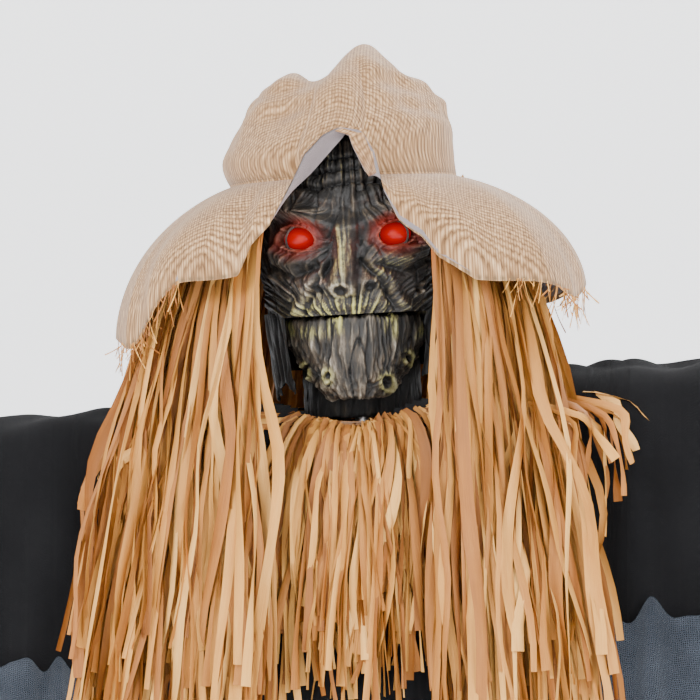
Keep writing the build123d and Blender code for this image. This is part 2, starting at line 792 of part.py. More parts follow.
# Straw hair sewn under the hat: a bundle down each side and one behind. Each is plain
# between level rectangles: (height above the neck, low X, high X, low Y, high Y).
hair_root = hat_seam + 1.5
hair_low = hair_end - neck_top
root_left = head.from_local_coords((-95, 0, hair_root)) - head.origin
root_right = head.from_local_coords((95, 0, hair_root)) - head.origin
root_back = head.from_local_coords((0, 99, hair_root - 1.2)) - head.origin
bundles = {
    "hair_left": ((root_left.Z, root_left.X - 7, root_left.X + 7, -25, 25),
                  (135, -190, -105, -60, 20),
                  (45, -215, -100, -128, -104),
                  (-5, -232, -97, -150, -132),
                  (hair_low, -272, -92, -150, -132)),
    "hair_right": ((root_right.Z, root_right.X - 7, root_right.X + 7, -25, 25),
                   (135, 92, 180, -60, 20),
                   (80, 95, 190, -128, -104),
                   (35, 97, 200, -150, -132),
                   (hair_low, 92, 250, -150, -132)),
    "hair_back": ((root_back.Z, root_back.X - 28, root_back.X + 28, 94, 103),
                  (135, -115, 105, 104, 138),
                  (45, -150, 150, 132, 152),
                  (hair_low + 90, -170, 170, 132, 152)),
}
for name, sections in bundles.items():
    with BuildPart() as hair:
        for pair in zip(sections[:-1], sections[1:]):
            for height, x_low, x_high, y_low, y_high in pair:
                with BuildSketch(Plane.XY.offset(neck_top + height)):
                    with Locations(((x_low + x_high) / 2, (y_low + y_high) / 2)):
                        Rectangle(x_high - x_low, y_high - y_low)
            loft(ruled=True)
    save(hair, name)

# ======== robe, sleeves and straw collar =============================================


def half_wrap(half_width, half_depth, side):
    """Outline of a wall of cloth round the front (side -1) or back (side 1)."""
    slant = robe_corner
    line = [(-half_width, 0), (-half_width, half_depth - slant), (-half_width + slant, half_depth),
            (half_width - slant, half_depth), (half_width, half_depth - slant), (half_width, 0)]
    thin = cloth * 0.42
    back = [(half_width - cloth, 0), (half_width - cloth, half_depth - slant - thin),
            (half_width - slant - thin, half_depth - cloth),
            (-half_width + slant + thin, half_depth - cloth),
            (-half_width + cloth, half_depth - slant - thin), (-half_width + cloth, 0)]
    return [(x, side * (y + part_gap / 2)) for x, y in line + back]


def tent_points(half_depth, rise, drop):
    """Outline of cloth hung over an arm: out to the back, up over and down the front."""
    return [(-half_depth, -drop), (-half_depth, 0.1 * rise), (-0.55 * half_depth, 0.85 * rise),
            (0, rise), (0.55 * half_depth, 0.85 * rise), (half_depth, 0.1 * rise), (half_depth, -drop)]


def tent(half_depth, rise, drop, thick):
    """Outline of a layer hung over an arm."""
    inner = tent_points(half_depth - thick, rise - thick, drop)
    return tent_points(half_depth, rise, drop) + inner[::-1]


for name, side in (("robe_front", -1), ("robe_back", 1)):
    with BuildPart() as robe:
        with BuildSketch(Plane.XY.offset(robe_hem)):
            outline(half_wrap(robe_hem_half_width, robe_hem_half_depth, side))
        with BuildSketch(Plane.XY.offset(arm_height)):
            outline(half_wrap(robe_top_half_width, robe_top_half_depth, side))
        loft(ruled=True)
        split(bisect_by=arms.offset(-yoke_drop - part_gap), keep=Keep.BOTTOM)
    save(robe, name)

# Yoke of the robe over the shoulders, level with the walls below it, with the neck hole.
robe_spread = (robe_hem_half_depth - robe_top_half_depth) / (arm_height - robe_hem)
yoke_half_depth = robe_top_half_depth + robe_spread * yoke_drop
with BuildPart() as robe_yoke:
    with BuildSketch(across(arms, -yoke_reach)):
        outline(tent(yoke_half_depth, yoke_rise, yoke_drop, cloth))
    extrude(amount=2 * yoke_reach)
    with BuildSketch(Plane.XY.offset(arm_height)):
        Circle(neck_hole_radius)
    extrude(amount=200, mode=Mode.SUBTRACT)
save(robe_yoke, "robe_yoke")

# Wide sleeves that hang plumb from the arms, open below and at the cuff.
sleeve_start = yoke_reach + 6
for name, side in sides:
    start_height = arm_height + side * sleeve_start * tan(radians(shoulder_tilt))
    cuff_height = arm_height + side * sleeve_reach * tan(radians(shoulder_tilt))
    with BuildPart() as sleeve:
        with BuildSketch(across(Plane.XY, side * sleeve_start, 0, start_height)):
            outline(tent(sleeve_half_depth, yoke_rise, sleeve_drop, cloth))
        with BuildSketch(across(Plane.XY, side * sleeve_reach, 0, cuff_height)):
            outline(tent(cuff_half_depth, yoke_rise - 6, cuff_drop, cloth))
        loft(ruled=True)
    save(sleeve, f"sleeve_{name}")

# Rags of gauze sewn flat to the front of the sleeves, which narrow towards the cuff.
gauze_start = yoke_reach + 34
gauze_fall = 170           # arm to the top of the gauze
sleeve_taper = (sleeve_half_depth - cuff_half_depth) / (sleeve_reach - sleeve_start)
sleeve_front = sleeve_half_depth - sleeve_taper * (gauze_start - sleeve_start)
with BuildPart() as sleeve_gauze:
    for _, side in sides:
        height = arm_height + side * gauze_start * tan(radians(shoulder_tilt))
        origin = (side * gauze_start, -sleeve_front - part_gap, height)
        with BuildSketch(Plane(origin, x_dir=(1, side * sleeve_taper, 0), z_dir=(side * sleeve_taper, -1, 0))):
            with Locations((side * gauze_width / 2, -gauze_fall - gauze_drop / 2)):
                Rectangle(gauze_width, gauze_drop)
        extrude(amount=2)
save(sleeve_gauze, "sleeve_gauze")

# Band that gathers the straw collar, seated in the robe's neck hole.
with BuildPart() as collar_band:
    with BuildSketch(Plane.XY.offset(neck_top - 16)):
        Circle(neck_hole_radius - part_gap)
        Circle(neck_hole_radius - part_gap - collar_band_wall, mode=Mode.SUBTRACT)
    extrude(amount=18)
    with BuildSketch(across(arms, -2 * neck_hole_radius)):
        Circle(pole_radius + 1)
    extrude(amount=4 * neck_hole_radius, mode=Mode.SUBTRACT)
save(collar_band, "collar_band")

# Straw bibs in front and behind, hung from the band.
bib_front = yoke_half_depth + raffia + 18
rim = neck_top + 3
for name, side in (("collar_front", -1), ("collar_back", 1)):
    with BuildPart() as bib:
        with BuildSketch(across(Plane.XY, -collar_half_width)):
            line = [(neck_hole_radius - 6, rim + 1), (yoke_half_depth + 6, rim + 1),
                    (bib_front + raffia, rim - 24), (bib_front + raffia, rim - collar_drop),
                    (bib_front, rim - collar_drop), (bib_front, rim - 26),
                    (yoke_half_depth + 3, rim - 5), (neck_hole_radius - 6, rim - 5)]
            outline([(side * y, z) for y, z in line])
        extrude(amount=2 * collar_half_width)
        with BuildSketch(across(arms, -yoke_reach)):
            outline(tent_points(yoke_half_depth + part_gap, yoke_rise + part_gap, yoke_drop))
        extrude(amount=2 * yoke_reach, mode=Mode.SUBTRACT)
        with BuildSketch(Plane.XY.offset(neck_top - 40)):
            Circle(neck_hole_radius)
        extrude(amount=60, mode=Mode.SUBTRACT)
    save(bib, name)

# Straw over each shoulder, lying on the yoke and the sleeve.
straw_half_depth = yoke_half_depth + part_gap + raffia
with BuildPart() as collar_shoulders:
    for _, side in sides:
        with BuildSketch(across(arms, side * (collar_half_width + 4))):
            outline(tent(straw_half_depth, yoke_rise + part_gap + raffia, yoke_drop, raffia))
        extrude(amount=side * (shoulder_straw_reach - collar_half_width - 4))
save(collar_shoulders, "collar_shoulders")

# ======== control box ================================================================
box_front = pole_radius + part_gap
box_back = box_front + box_depth
board_place = box_back - 9.6
inlet_radius = 5.5
inlet_place = (box_half_width - 9, box_front + 10.5)
standoffs = ((6, 7), (42, 7), (6, 38), (42, 38))


def behind(y, x=0, z=0):
    """Plane facing the back, level with the control box's middle."""
    return Plane((x, y, box_height + z), x_dir=(-1, 0, 0), z_dir=(0, 1, 0))


# Box clipped behind the pole, open at the back, with posts for the board.
with BuildPart() as control_box:
    with BuildSketch(behind(box_front)):
        RectangleRounded(2 * box_half_width, 2 * box_half_height, 4)
    extrude(amount=box_depth)
    with BuildSketch(behind(box_front + box_wall)):
        RectangleRounded(2 * (box_half_width - box_wall), 2 * (box_half_height - box_wall), 2)
    extrude(amount=box_depth, mode=Mode.SUBTRACT)
    for x, z in standoffs:
        with BuildSketch(behind(box_front, x, z)):
            Circle(3)
        extrude(amount=board_place - box_front)
    with BuildSketch(Plane.XY.offset(box_height - box_half_height - 1)):
        with Locations(inlet_place):
            Circle(inlet_radius + part_gap / 2)
    extrude(amount=6, mode=Mode.SUBTRACT)
save(control_box, "control_box")

# Back cover: speaker slots, switch slot, button hole, battery opening and door rails.
door_top = -6
door_low = -box_half_height + 2
cover_back = box_back + box_wall
switch_place = (30, 30)
button_place = (30, 10)
speaker_place = (-24, 20)
with BuildPart() as control_box_cover:
    with BuildSketch(behind(box_back)):
        RectangleRounded(2 * box_half_width, 2 * box_half_height, 4)
    extrude(amount=box_wall)
    with BuildSketch(behind(box_back, 0, (door_top + door_low) / 2)):
        Rectangle(2 * cell_length / 2 + 3, door_top - door_low - 8)
    extrude(amount=box_wall, mode=Mode.SUBTRACT)
    for slot in range(-2, 3):
        with BuildSketch(behind(box_back, speaker_place[0], speaker_place[1] + 6 * slot)):
            SlotOverall(24 - 3 * abs(slot), 2.5)
        extrude(amount=box_wall, mode=Mode.SUBTRACT)
    with BuildSketch(behind(box_back, switch_place[0], switch_place[1])):
        Rectangle(5, 12)
    extrude(amount=box_wall, mode=Mode.SUBTRACT)
    with BuildSketch(behind(box_back, button_place[0], button_place[1])):
        Circle(button_radius + part_gap)
    extrude(amount=box_wall, mode=Mode.SUBTRACT)
    for x in (-1, 1):
        with BuildSketch(behind(cover_back, x * (door_half_width + part_gap + 1.5), (door_top + door_low) / 2)):
            Rectangle(3, door_top - door_low)
        extrude(amount=4.5)
        with BuildSketch(behind(cover_back + 2.6, x * door_half_width, (door_top + door_low) / 2)):
            Rectangle(6.6, door_top - door_low)
        extrude(amount=1.9)
save(control_box_cover, "control_box_cover")

# Battery door that slides down between its rails.
with BuildPart() as battery_door:
    with BuildSketch(behind(cover_back + part_gap, 0, (door_top + door_low) / 2)):
        Rectangle(2 * door_half_width, door_top - door_low)
    extrude(amount=2)
    with BuildSketch(behind(cover_back + part_gap + 2, 0, door_low + 8)):
        Rectangle(20, 2)
    extrude(amount=1.5)
save(battery_door, "battery_door")

# Three cells in a row behind the door.
with BuildPart() as batteries:
    for cell in range(cells):
        cell_height = -box_half_height + box_wall + part_gap + cell_radius + cell * (2 * cell_radius + part_gap)
        with BuildSketch(Plane.YZ.offset(-cell_length / 2)):
            with Locations((box_back - cell_radius - part_gap, box_height + cell_height)):
                Circle(cell_radius)
        extrude(amount=cell_length)
save(batteries, "batteries")

# Board on the posts, carrying the switch body, the button's contact and the microphone.
with BuildPart() as circuit_board:
    with BuildSketch(behind(board_place, 24, 22.5)):
        Rectangle(44, 37)
    extrude(amount=1.6)
    with BuildSketch(behind(board_place + 1, switch_place[0], switch_place[1])):
        Rectangle(9, 14)
    extrude(amount=5.2)
    with BuildSketch(behind(board_place + 1, button_place[0], button_place[1])):
        Rectangle(6, 6)
    extrude(amount=3.4)
    with BuildSketch(behind(board_place + 1, 12, 30)):
        Circle(3)
    extrude(amount=6)
save(circuit_board, "circuit_board")

# Speaker behind its slots.
with BuildPart() as speaker:
    with BuildSketch(behind(box_back - part_gap - 4, speaker_place[0], speaker_place[1])):
        Circle(speaker_radius)
    extrude(amount=4)
    with BuildSketch(behind(box_back - part_gap - 16, speaker_place[0], speaker_place[1])):
        Circle(10)
    extrude(amount=13)
save(speaker, "speaker")

# On-off slider, with a foot inside the cover.
switch_base = board_place + 6.2 + 0.2
with BuildPart() as power_switch:
    with BuildSketch(behind(switch_base, switch_place[0], switch_place[1] - 3.5)):
        Rectangle(8, 7)
    extrude(amount=box_back - switch_base - 0.2)
    with BuildSketch(behind(switch_base, switch_place[0], switch_place[1] - 3.5)):
        Rectangle(4.2, 4)
    extrude(amount=cover_back + 3 - switch_base)
save(power_switch, "power_switch")

# Test button, held in by its flange.
with BuildPart() as try_button:
    with BuildSketch(behind(board_place + 4.4 + 1.8, button_place[0], button_place[1])):
        Circle(button_radius + 2)
    extrude(amount=box_back - board_place - 6.2 - 0.2)
    with BuildSketch(behind(box_back - 0.5, button_place[0], button_place[1])):
        Circle(button_radius)
    extrude(amount=box_wall + 3.5)
save(try_button, "try_button")

# Low-voltage inlet in the floor of the box.
with BuildPart() as power_inlet:
    with BuildSketch(Plane.XY.offset(box_height - box_half_height - 2)):
        with Locations(inlet_place):
            Circle(inlet_radius)
    extrude(amount=14)
    with BuildSketch(Plane.XY.offset(box_height - box_half_height - 2)):
        with Locations(inlet_place):
            Circle(jack_bore_radius)
    extrude(amount=jack_bore_depth, mode=Mode.SUBTRACT)
save(power_inlet, "power_inlet")

# Small screws of the torso block's lid.
with BuildPart() as cover_screws:
    for x in (-1, 1):
        for y in (-block_front + 2, block_back - 2):
            with BuildSketch(Plane.XY.offset(block_top - 8)):
                with Locations((x * (block_half_width - 2), y)):
                    Circle(screw_radius)
            extrude(amount=8 + cover_thickness)
            with BuildSketch(Plane.XY.offset(block_top + cover_thickness)):
                with Locations((x * (block_half_width - 2), y)):
                    Circle(2 * screw_radius)
            extrude(amount=2)
save(cover_screws, "cover_screws")
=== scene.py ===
import json
import math

import bpy
import numpy as np
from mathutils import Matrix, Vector


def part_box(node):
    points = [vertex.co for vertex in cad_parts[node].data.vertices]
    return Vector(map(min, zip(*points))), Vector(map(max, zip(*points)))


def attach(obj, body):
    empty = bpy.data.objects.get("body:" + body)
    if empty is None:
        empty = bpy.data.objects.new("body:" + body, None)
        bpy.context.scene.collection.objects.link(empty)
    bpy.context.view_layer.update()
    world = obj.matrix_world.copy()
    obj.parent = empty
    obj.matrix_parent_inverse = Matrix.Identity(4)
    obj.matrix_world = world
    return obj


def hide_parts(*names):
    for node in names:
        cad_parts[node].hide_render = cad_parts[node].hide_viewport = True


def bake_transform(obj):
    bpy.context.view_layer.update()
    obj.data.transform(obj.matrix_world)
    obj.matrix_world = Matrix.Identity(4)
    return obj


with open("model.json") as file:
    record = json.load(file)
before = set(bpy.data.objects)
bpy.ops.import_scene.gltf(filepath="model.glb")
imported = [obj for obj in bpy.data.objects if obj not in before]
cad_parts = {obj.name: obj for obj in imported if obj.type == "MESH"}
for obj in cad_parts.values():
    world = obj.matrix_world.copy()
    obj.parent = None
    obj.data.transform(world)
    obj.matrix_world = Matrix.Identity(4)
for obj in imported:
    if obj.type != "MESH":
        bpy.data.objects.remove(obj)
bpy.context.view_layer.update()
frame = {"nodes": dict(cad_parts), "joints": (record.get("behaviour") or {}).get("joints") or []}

# ---- Studio ----
# A pale round floor that curves up far away on every side, three large soft lamps and a
# camera at eye level in front of the head, a little to one side.
neck_joint = next(joint for joint in frame["joints"] if joint["name"] == "head_turn")
jaw_joint = next(joint for joint in frame["joints"] if joint["name"] == "jaw_open")
neck = np.array(neck_joint["pos_m"])
head_x = np.array(jaw_joint["axis"])
head_up = np.array((-head_x[2], 0, head_x[0]))

camera_azimuth = math.radians(4)
camera_distance = 3.4
view_width = 0.70
aim_aside, aim_above_neck = -0.013, 0.072
camera = bpy.data.objects.new("camera", bpy.data.cameras.new("camera"))
bpy.context.collection.objects.link(camera)
camera.data.lens = camera.data.sensor_width * camera_distance / view_width
aim = Vector((aim_aside, 0, neck[2] + aim_above_neck))
back = Vector((math.sin(camera_azimuth), -math.cos(camera_azimuth), 0))
camera.location = aim + back * camera_distance
camera.rotation_euler = (-back).to_track_quat("-Z", "Y").to_euler()
bpy.context.scene.camera = camera

paper = bpy.data.materials.new("paper")
paper.use_nodes = True
for socket, value in (("Base Color", (0.93, 0.93, 0.93, 1)), ("Roughness", 0.9),
                      ("Emission Color", (1, 1, 1, 1)), ("Emission Strength", 0.9)):
    paper.node_tree.nodes["Principled BSDF"].inputs[socket].default_value = value
floor_reach, bend, wall_height, spokes = 16.0, 4.0, 14.0, 64
profile = [(0.01, 0), (floor_reach, 0)]
profile += [(floor_reach + bend * math.sin(a), bend * (1 - math.cos(a)))
            for a in np.linspace(0, math.pi / 2, 16)[1:]]
profile += [(floor_reach + bend, wall_height)]
points = [(r * math.cos(a), r * math.sin(a), z) for r, z in profile
          for a in np.linspace(0, 2 * math.pi, spokes + 1)[:-1]]
faces = [(ring * spokes + n, ring * spokes + (n + 1) % spokes, (ring + 1) * spokes + (n + 1) % spokes,
          (ring + 1) * spokes + n) for ring in range(len(profile) - 1) for n in range(spokes)]
sweep = bpy.data.objects.new("sweep", bpy.data.meshes.new("sweep"))
sweep.data.from_pydata(points, [], faces)
sweep.data.shade_smooth()
sweep.data.materials.append(paper)
bpy.context.collection.objects.link(sweep)

chest = Vector((0, 0, 1.5))
for name, place, size, power in (
    ("key_lamp", (-1.5, -2.4, 2.9), 1.1, 105),
    ("fill_lamp", (1.9, -2.3, 1.9), 1.6, 62),
    ("rim_lamp", (0.9, 0.9, 3.4), 1.4, 60),
):
    lamp = bpy.data.objects.new(name, bpy.data.lights.new(name, "AREA"))
    lamp.data.size = size
    lamp.data.energy = power
    lamp.location = place
    lamp.rotation_euler = (chest - lamp.location).to_track_quat("-Z", "Y").to_euler()
    bpy.context.collection.objects.link(lamp)
world = bpy.data.worlds.new("studio")
world.use_nodes = True
world.node_tree.nodes["Background"].inputs["Color"].default_value = (0.9, 0.93, 1, 1)
world.node_tree.nodes["Background"].inputs["Strength"].default_value = 1.0
bpy.context.scene.world = world

# ---- Stand ----
# A hub with four tube legs in rubber feet and a three-part pole. The tubes are steel with a
# baked black powder coat, which is slightly pebbled and rubbed bare in specks.


class Value:
    """A shader number: arithmetic on it adds Math nodes to its finish."""

    def __init__(self, finish, socket):
        self.finish, self.socket = finish, socket

    def math(self, operation, *others, first=None):
        inputs = dict(enumerate([self if first is None else first, *others]))
        return self.finish.node("Math", {"operation": operation}, inputs)

    def __add__(self, other):
        return self.math("ADD", other)

    def __sub__(self, other):
        return self.math("SUBTRACT", other)

    def __mul__(self, other):
        return self.math("MULTIPLY", other)

    def __truediv__(self, other):
        return self.math("DIVIDE", other)

    def __pow__(self, other):
        return self.math("POWER", other)

    def __rsub__(self, other):
        return self.math("SUBTRACT", self, first=other)

    __radd__, __rmul__ = __add__, __mul__

    def sine(self):
        return self.math("SINE")

    def size(self):
        return self.math("ABSOLUTE")

    def highest(self, other):
        return self.math("MAXIMUM", other)

    def lowest(self, other):
        return self.math("MINIMUM", other)

    def step(self, low, high):
        """0 below low, 1 above high, smooth between."""
        settings = {"interpolation_type": "SMOOTHSTEP"}
        return self.finish.node("MapRange", settings, {0: self, 1: low, 2: high})


class Finish:
    """A material being made: its constants are set at once, and node() adds any node."""

    def __init__(self, name, **constants):
        self.material = bpy.data.materials.new(name)
        self.material.use_nodes = True
        self.tree = self.material.node_tree
        self.shader = self.tree.nodes["Principled BSDF"]
        for socket, value in constants.items():
            self.shader.inputs[socket.replace("_", " ")].default_value = value

    def node(self, kind, settings=None, inputs=None, output=0):
        made = self.tree.nodes.new("ShaderNode" + kind)
        for key, value in (settings or {}).items():
            if key == "stops":
                while len(made.color_ramp.elements) < len(value):
                    made.color_ramp.elements.new(1)
                for element, (place, colour) in zip(made.color_ramp.elements, value):
                    element.position, element.color = place, (*colour, 1)
            else:
                setattr(made, key, value)
        for key, value in (inputs or {}).items():
            self.feed(made.inputs[key], value)
        return Value(self, made.outputs[output])

    def feed(self, socket, value):
        if isinstance(value, Value):
            self.tree.links.new(value.socket, socket)
        elif isinstance(value, tuple) and len(value) == 3 and socket.type == "RGBA":
            socket.default_value = (*value, 1)
        else:
            socket.default_value = value

    def place(self, stretch=(1, 1, 1)):
        """Points in the row's own frame, stretched along each axis."""
        where = self.node("TexCoord", output="Object")
        return self.node("VectorMath", {"operation": "MULTIPLY"}, {0: where, 1: stretch})

    def map(self, stretch=(1, 1, 1)):
        """The piece's own flat coordinates, in metres, stretched along each axis."""
        where = self.node("UVMap", {"uv_map": "flat"})
        return self.node("VectorMath", {"operation": "MULTIPLY"}, {0: where, 1: stretch})

    def threads(self):
        """How far across and along its cloth a point is, in metres."""
        return [self.node("SeparateXYZ", {}, {0: self.map()}, output=side) for side in (0, 1)]

    def noise(self, scale, detail=3, where=None):
        """Noise over the row's own frame, or over other points that where gives."""
        inputs = {"Vector": where or self.place(), "Scale": scale, "Detail": detail, "Roughness": 0.55}
        return self.node("TexNoise", {}, inputs)

    def attribute(self, name):
        return self.node("Attribute", {"attribute_name": name}, output="Fac")

    def mix(self, share, low, high):
        return self.node("Mix", {"data_type": "RGBA"}, {0: share, 6: low, 7: high}, output=2)

    def ramp(self, share, *stops):
        return self.node("ValToRGB", {"stops": stops}, {0: share})

    def surface(self, colour, roughness=None, height=None, depth=0.001, **more):
        """Feeds the shader; height, in units of depth metres, becomes a bump."""
        if height is not None:
            more["Normal"] = self.node("Bump", {}, {"Height": height, "Distance": depth})
        more["Base Color"] = colour
        if roughness is not None:
            more["Roughness"] = roughness
        for socket, value in more.items():
            self.feed(self.shader.inputs[socket.replace("_", " ")], value)
        return self.material


def dress(material, *nodes):
    """Gives CAD nodes whose shape is right their finish."""
    for name in nodes:
        mesh = frame["nodes"][name].data
        mesh.materials.clear()
        mesh.materials.append(material)


def powder_coat():
    finish = Finish("powder_coat", Specular_IOR_Level=0.45)
    pebble = finish.noise(900, 2)
    rubbed = finish.noise(60, 5).step(0.66, 0.72) * pebble.step(0.45, 0.6)
    colour = finish.mix(rubbed, (0.018, 0.018, 0.02), (0.16, 0.155, 0.15))
    return finish.surface(colour, 0.38 + pebble * 0.2, pebble, 0.0004)


def rubber():
    finish = Finish("rubber", Specular_IOR_Level=0.3)
    dust = finish.noise(40, 5)
    colour = finish.mix(dust.step(0.45, 0.75), (0.014, 0.014, 0.014), (0.07, 0.065, 0.06))
    return finish.surface(colour, 0.6 + dust * 0.3, finish.noise(500, 2), 0.0004)


def moulded_plastic():
    finish = Finish("moulded_plastic", Specular_IOR_Level=0.45)
    texture = finish.noise(1400, 2)
    scuffs = finish.noise(1, 4, finish.place((60, 60, 400))).step(0.62, 0.8)
    colour = finish.mix(scuffs, (0.02, 0.02, 0.022), (0.075, 0.075, 0.078))
    return finish.surface(colour, 0.42 + texture * 0.25, texture, 0.0002)


def zinc_plate():
    finish = Finish("zinc_plate", Metallic=1.0)
    turned = finish.noise(1, 3, finish.place((200, 200, 2500)))
    colour = finish.mix(turned, (0.42, 0.42, 0.43), (0.68, 0.68, 0.66))
    return finish.surface(colour, 0.22 + turned * 0.2, turned, 0.0001)


steel, plastic, plated = powder_coat(), moulded_plastic(), zinc_plate()
dress(steel, "base_legs", "lower_pole", "middle_pole", "upper_pole", "shoulder_bars",
      "arm_tube_left", "arm_tube_right")
dress(plastic, "base_hub", "thumb_screws")
dress(rubber(), "foot_caps", "eye_sockets")
dress(plated, "leg_screws")

# ---- Head-turn drive and control box ----
# Moulded black housings on the pole, white nylon gears, small sealed motors, and a box with
# a board, speaker, cells and controls. They are out of sight under the robe.


def nylon():
    finish = Finish("nylon", Subsurface_Weight=0.15, Specular_IOR_Level=0.4)
    cloud = finish.noise(120, 3)
    return finish.surface(finish.mix(cloud, (0.72, 0.7, 0.63), (0.85, 0.84, 0.79)), 0.35 + cloud * 0.2,
                          finish.noise(900, 2), 0.0001)


def red_cap():
    finish = Finish("red_cap", Specular_IOR_Level=0.5)
    cloud = finish.noise(700, 3)
    return finish.surface(finish.mix(cloud, (0.42, 0.015, 0.01), (0.55, 0.03, 0.02)), 0.2 + cloud * 0.2)


def green_board():
    finish = Finish("green_board", Coat_Weight=0.6, Coat_Roughness=0.15)
    cells = {"Vector": finish.place(), "Scale": 420}
    tracks = finish.node("TexVoronoi", {"distance": "MANHATTAN"}, cells).step(0.35, 0.42)
    colour = finish.mix(tracks, (0.012, 0.12, 0.045), (0.03, 0.22, 0.08))
    return finish.surface(colour, 0.4, tracks, 0.0001)


def cell_wrap():
    finish = Finish("cell_wrap", Coat_Weight=0.8, Metallic=0.4)
    along = finish.node("SeparateXYZ", {}, {0: finish.place()})
    band = along.size().step(0.0120, 0.0124)
    return finish.surface(finish.mix(band, (0.02, 0.02, 0.022), (0.45, 0.3, 0.12)),
                          0.25 + finish.noise(300, 3) * 0.2)


dress(plastic, "torso_block", "torso_cover", "turn_motor", "jaw_motor", "skull_bracket",
      "control_box", "control_box_cover", "battery_door", "speaker", "power_inlet")
dress(nylon(), "neck_bushing", "turn_gear", "turn_pinion", "jaw_gear", "jaw_pinion")
dress(plated, "cover_screws", "shell_screws", "neck_shaft", "hinge_pins")
dress(red_cap(), "power_switch", "try_button")
dress(green_board(), "circuit_board")
dress(cell_wrap(), "batteries")

# ---- Head ----
# A rotationally moulded tree-spirit mask with a plain back shell, charcoal black and then
# dry-brushed with bone, brown and yellow-green so that the ridges of the bark catch the paint.
# Painted shade lines the sides of the nose and under the brows, and a painted red glow rings the eyes.


def clamp(values):
    return np.clip(values, 0, 1)


def joined(*parts):
    """Arrays side by side along a new last axis."""
    return np.stack(np.broadcast_arrays(*parts), axis=-1)


def on_head(x, y, height):
    """Row-frame points from millimetres across, behind and above the neck top."""
    x, y, height = np.broadcast_arrays(x, y, height)
    flat = neck + (x[..., None] * head_x + height[..., None] * head_up) * 0.001
    flat[..., 1] += y * 0.001
    return flat


def wobble(points, size, seed, stretch=(1, 1, 1), waves=14):
    """Smooth noise, about -1 to 1, with features of the given size in the points' unit."""
    rng = np.random.default_rng(seed)
    total = np.zeros(points.shape[:-1])
    for _ in range(waves):
        turn = rng.normal(size=3)
        turn = turn / np.linalg.norm(turn) * rng.uniform(0.6, 1.7) * math.pi / size
        total += np.sin(points @ (turn * np.array(stretch)) + rng.uniform(0, 2 * math.pi))
    return total / math.sqrt(waves)


def ripple(x, size, seed, y=0, z=0):
    """Smooth noise over a field of coordinates."""
    return wobble(joined(x, y, z), size, seed)


def soften(field, times):
    for _ in range(times):
        padded = np.pad(field, 1, mode="edge")
        field = (padded[:-2, 1:-1] + padded[2:, 1:-1] + padded[1:-1, :-2] + padded[1:-1, 2:]
                 + 4 * padded[1:-1, 1:-1]) / 8
    return field


def grain(angle, blur, reach, seed):
    """Streaks, about 0 to 1, that run along the given angle at each cell of a grid."""
    rows, cols = angle.shape
    noise = soften(np.random.default_rng(seed).random(angle.shape), blur)
    total, count = np.zeros(angle.shape), 0
    for direction in (-1, 1):
        row, col = [a.astype(float) for a in np.mgrid[:rows, :cols]]
        for _ in range(reach):
            r, c = row.round().astype(int) % rows, col.round().astype(int) % cols
            total, count = total + noise[r, c], count + 1
            row = row + direction * np.sin(angle[r, c])
            col = col + direction * np.cos(angle[r, c])
    total /= count
    low, high = np.percentile(total, (2, 98))
    return clamp((total - low) / (high - low))


def hill(away, width):
    """1 where away is 0, falling to 0 a width or two from there."""
    return np.exp(-(away / width) ** 2)


def bump(x, h, place, radius, tall=None):
    return hill(x - place[0], radius) * hill(h - place[1], tall or radius)


def ridge(x, h, line, width):
    """A hill along a line through points."""
    nearest = np.full(np.shape(x), 1e9)
    for (x0, h0), (x1, h1) in zip(line, line[1:]):
        along = ((x - x0) * (x1 - x0) + (h - h0) * (h1 - h0)) / ((x1 - x0) ** 2 + (h1 - h0) ** 2)
        along = clamp(along)
        away = np.hypot(x - x0 - along * (x1 - x0), h - h0 - along * (h1 - h0))
        nearest = np.minimum(nearest, away)
    return hill(nearest, width)


def make(name, points, faces, material, flat=None, **marks):
    """A mesh piece with its flat coordinates and vertex marks for its finish."""
    mesh = bpy.data.meshes.new(name)
    mesh.from_pydata(np.asarray(points).reshape(-1, 3).tolist(), [], np.asarray(faces).tolist())
    if flat is not None:
        corners = np.empty(len(mesh.loops), dtype=np.int32)
        mesh.loops.foreach_get("vertex_index", corners)
        layer = mesh.uv_layers.new(name="flat")
        layer.data.foreach_set("uv", np.asarray(flat).reshape(-1, 2)[corners].ravel())
    for key, values in marks.items():
        layer = mesh.attributes.new(key, "FLOAT", "POINT")
        layer.data.foreach_set("value", np.asarray(values, dtype=np.float32).ravel())
    mesh.shade_smooth()
    mesh.materials.append(material)
    piece = bpy.data.objects.new(name, mesh)
    bpy.context.collection.objects.link(piece)
    return piece


def grid_faces(rows, cols):
    corner = np.arange(rows * cols).reshape(rows, cols)
    return joined(corner[:-1, :-1], corner[:-1, 1:], corner[1:, 1:], corner[1:, :-1]).reshape(-1, 4)


def steps(rows, cols):
    """How far along each side of a grid its points are, from 0 to 1."""
    return np.meshgrid(np.linspace(0, 1, rows), np.linspace(0, 1, cols), indexing="ij")


def unit(arrows):
    return arrows / (np.linalg.norm(arrows, axis=-1, keepdims=True) + 1e-12)


def fit(piece, body, node=None):
    """The piece moves with a body, if one is given, and stands for a CAD node, which is hidden."""
    if node:
        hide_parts(node)
    if body:
        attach(piece, body)
    return piece


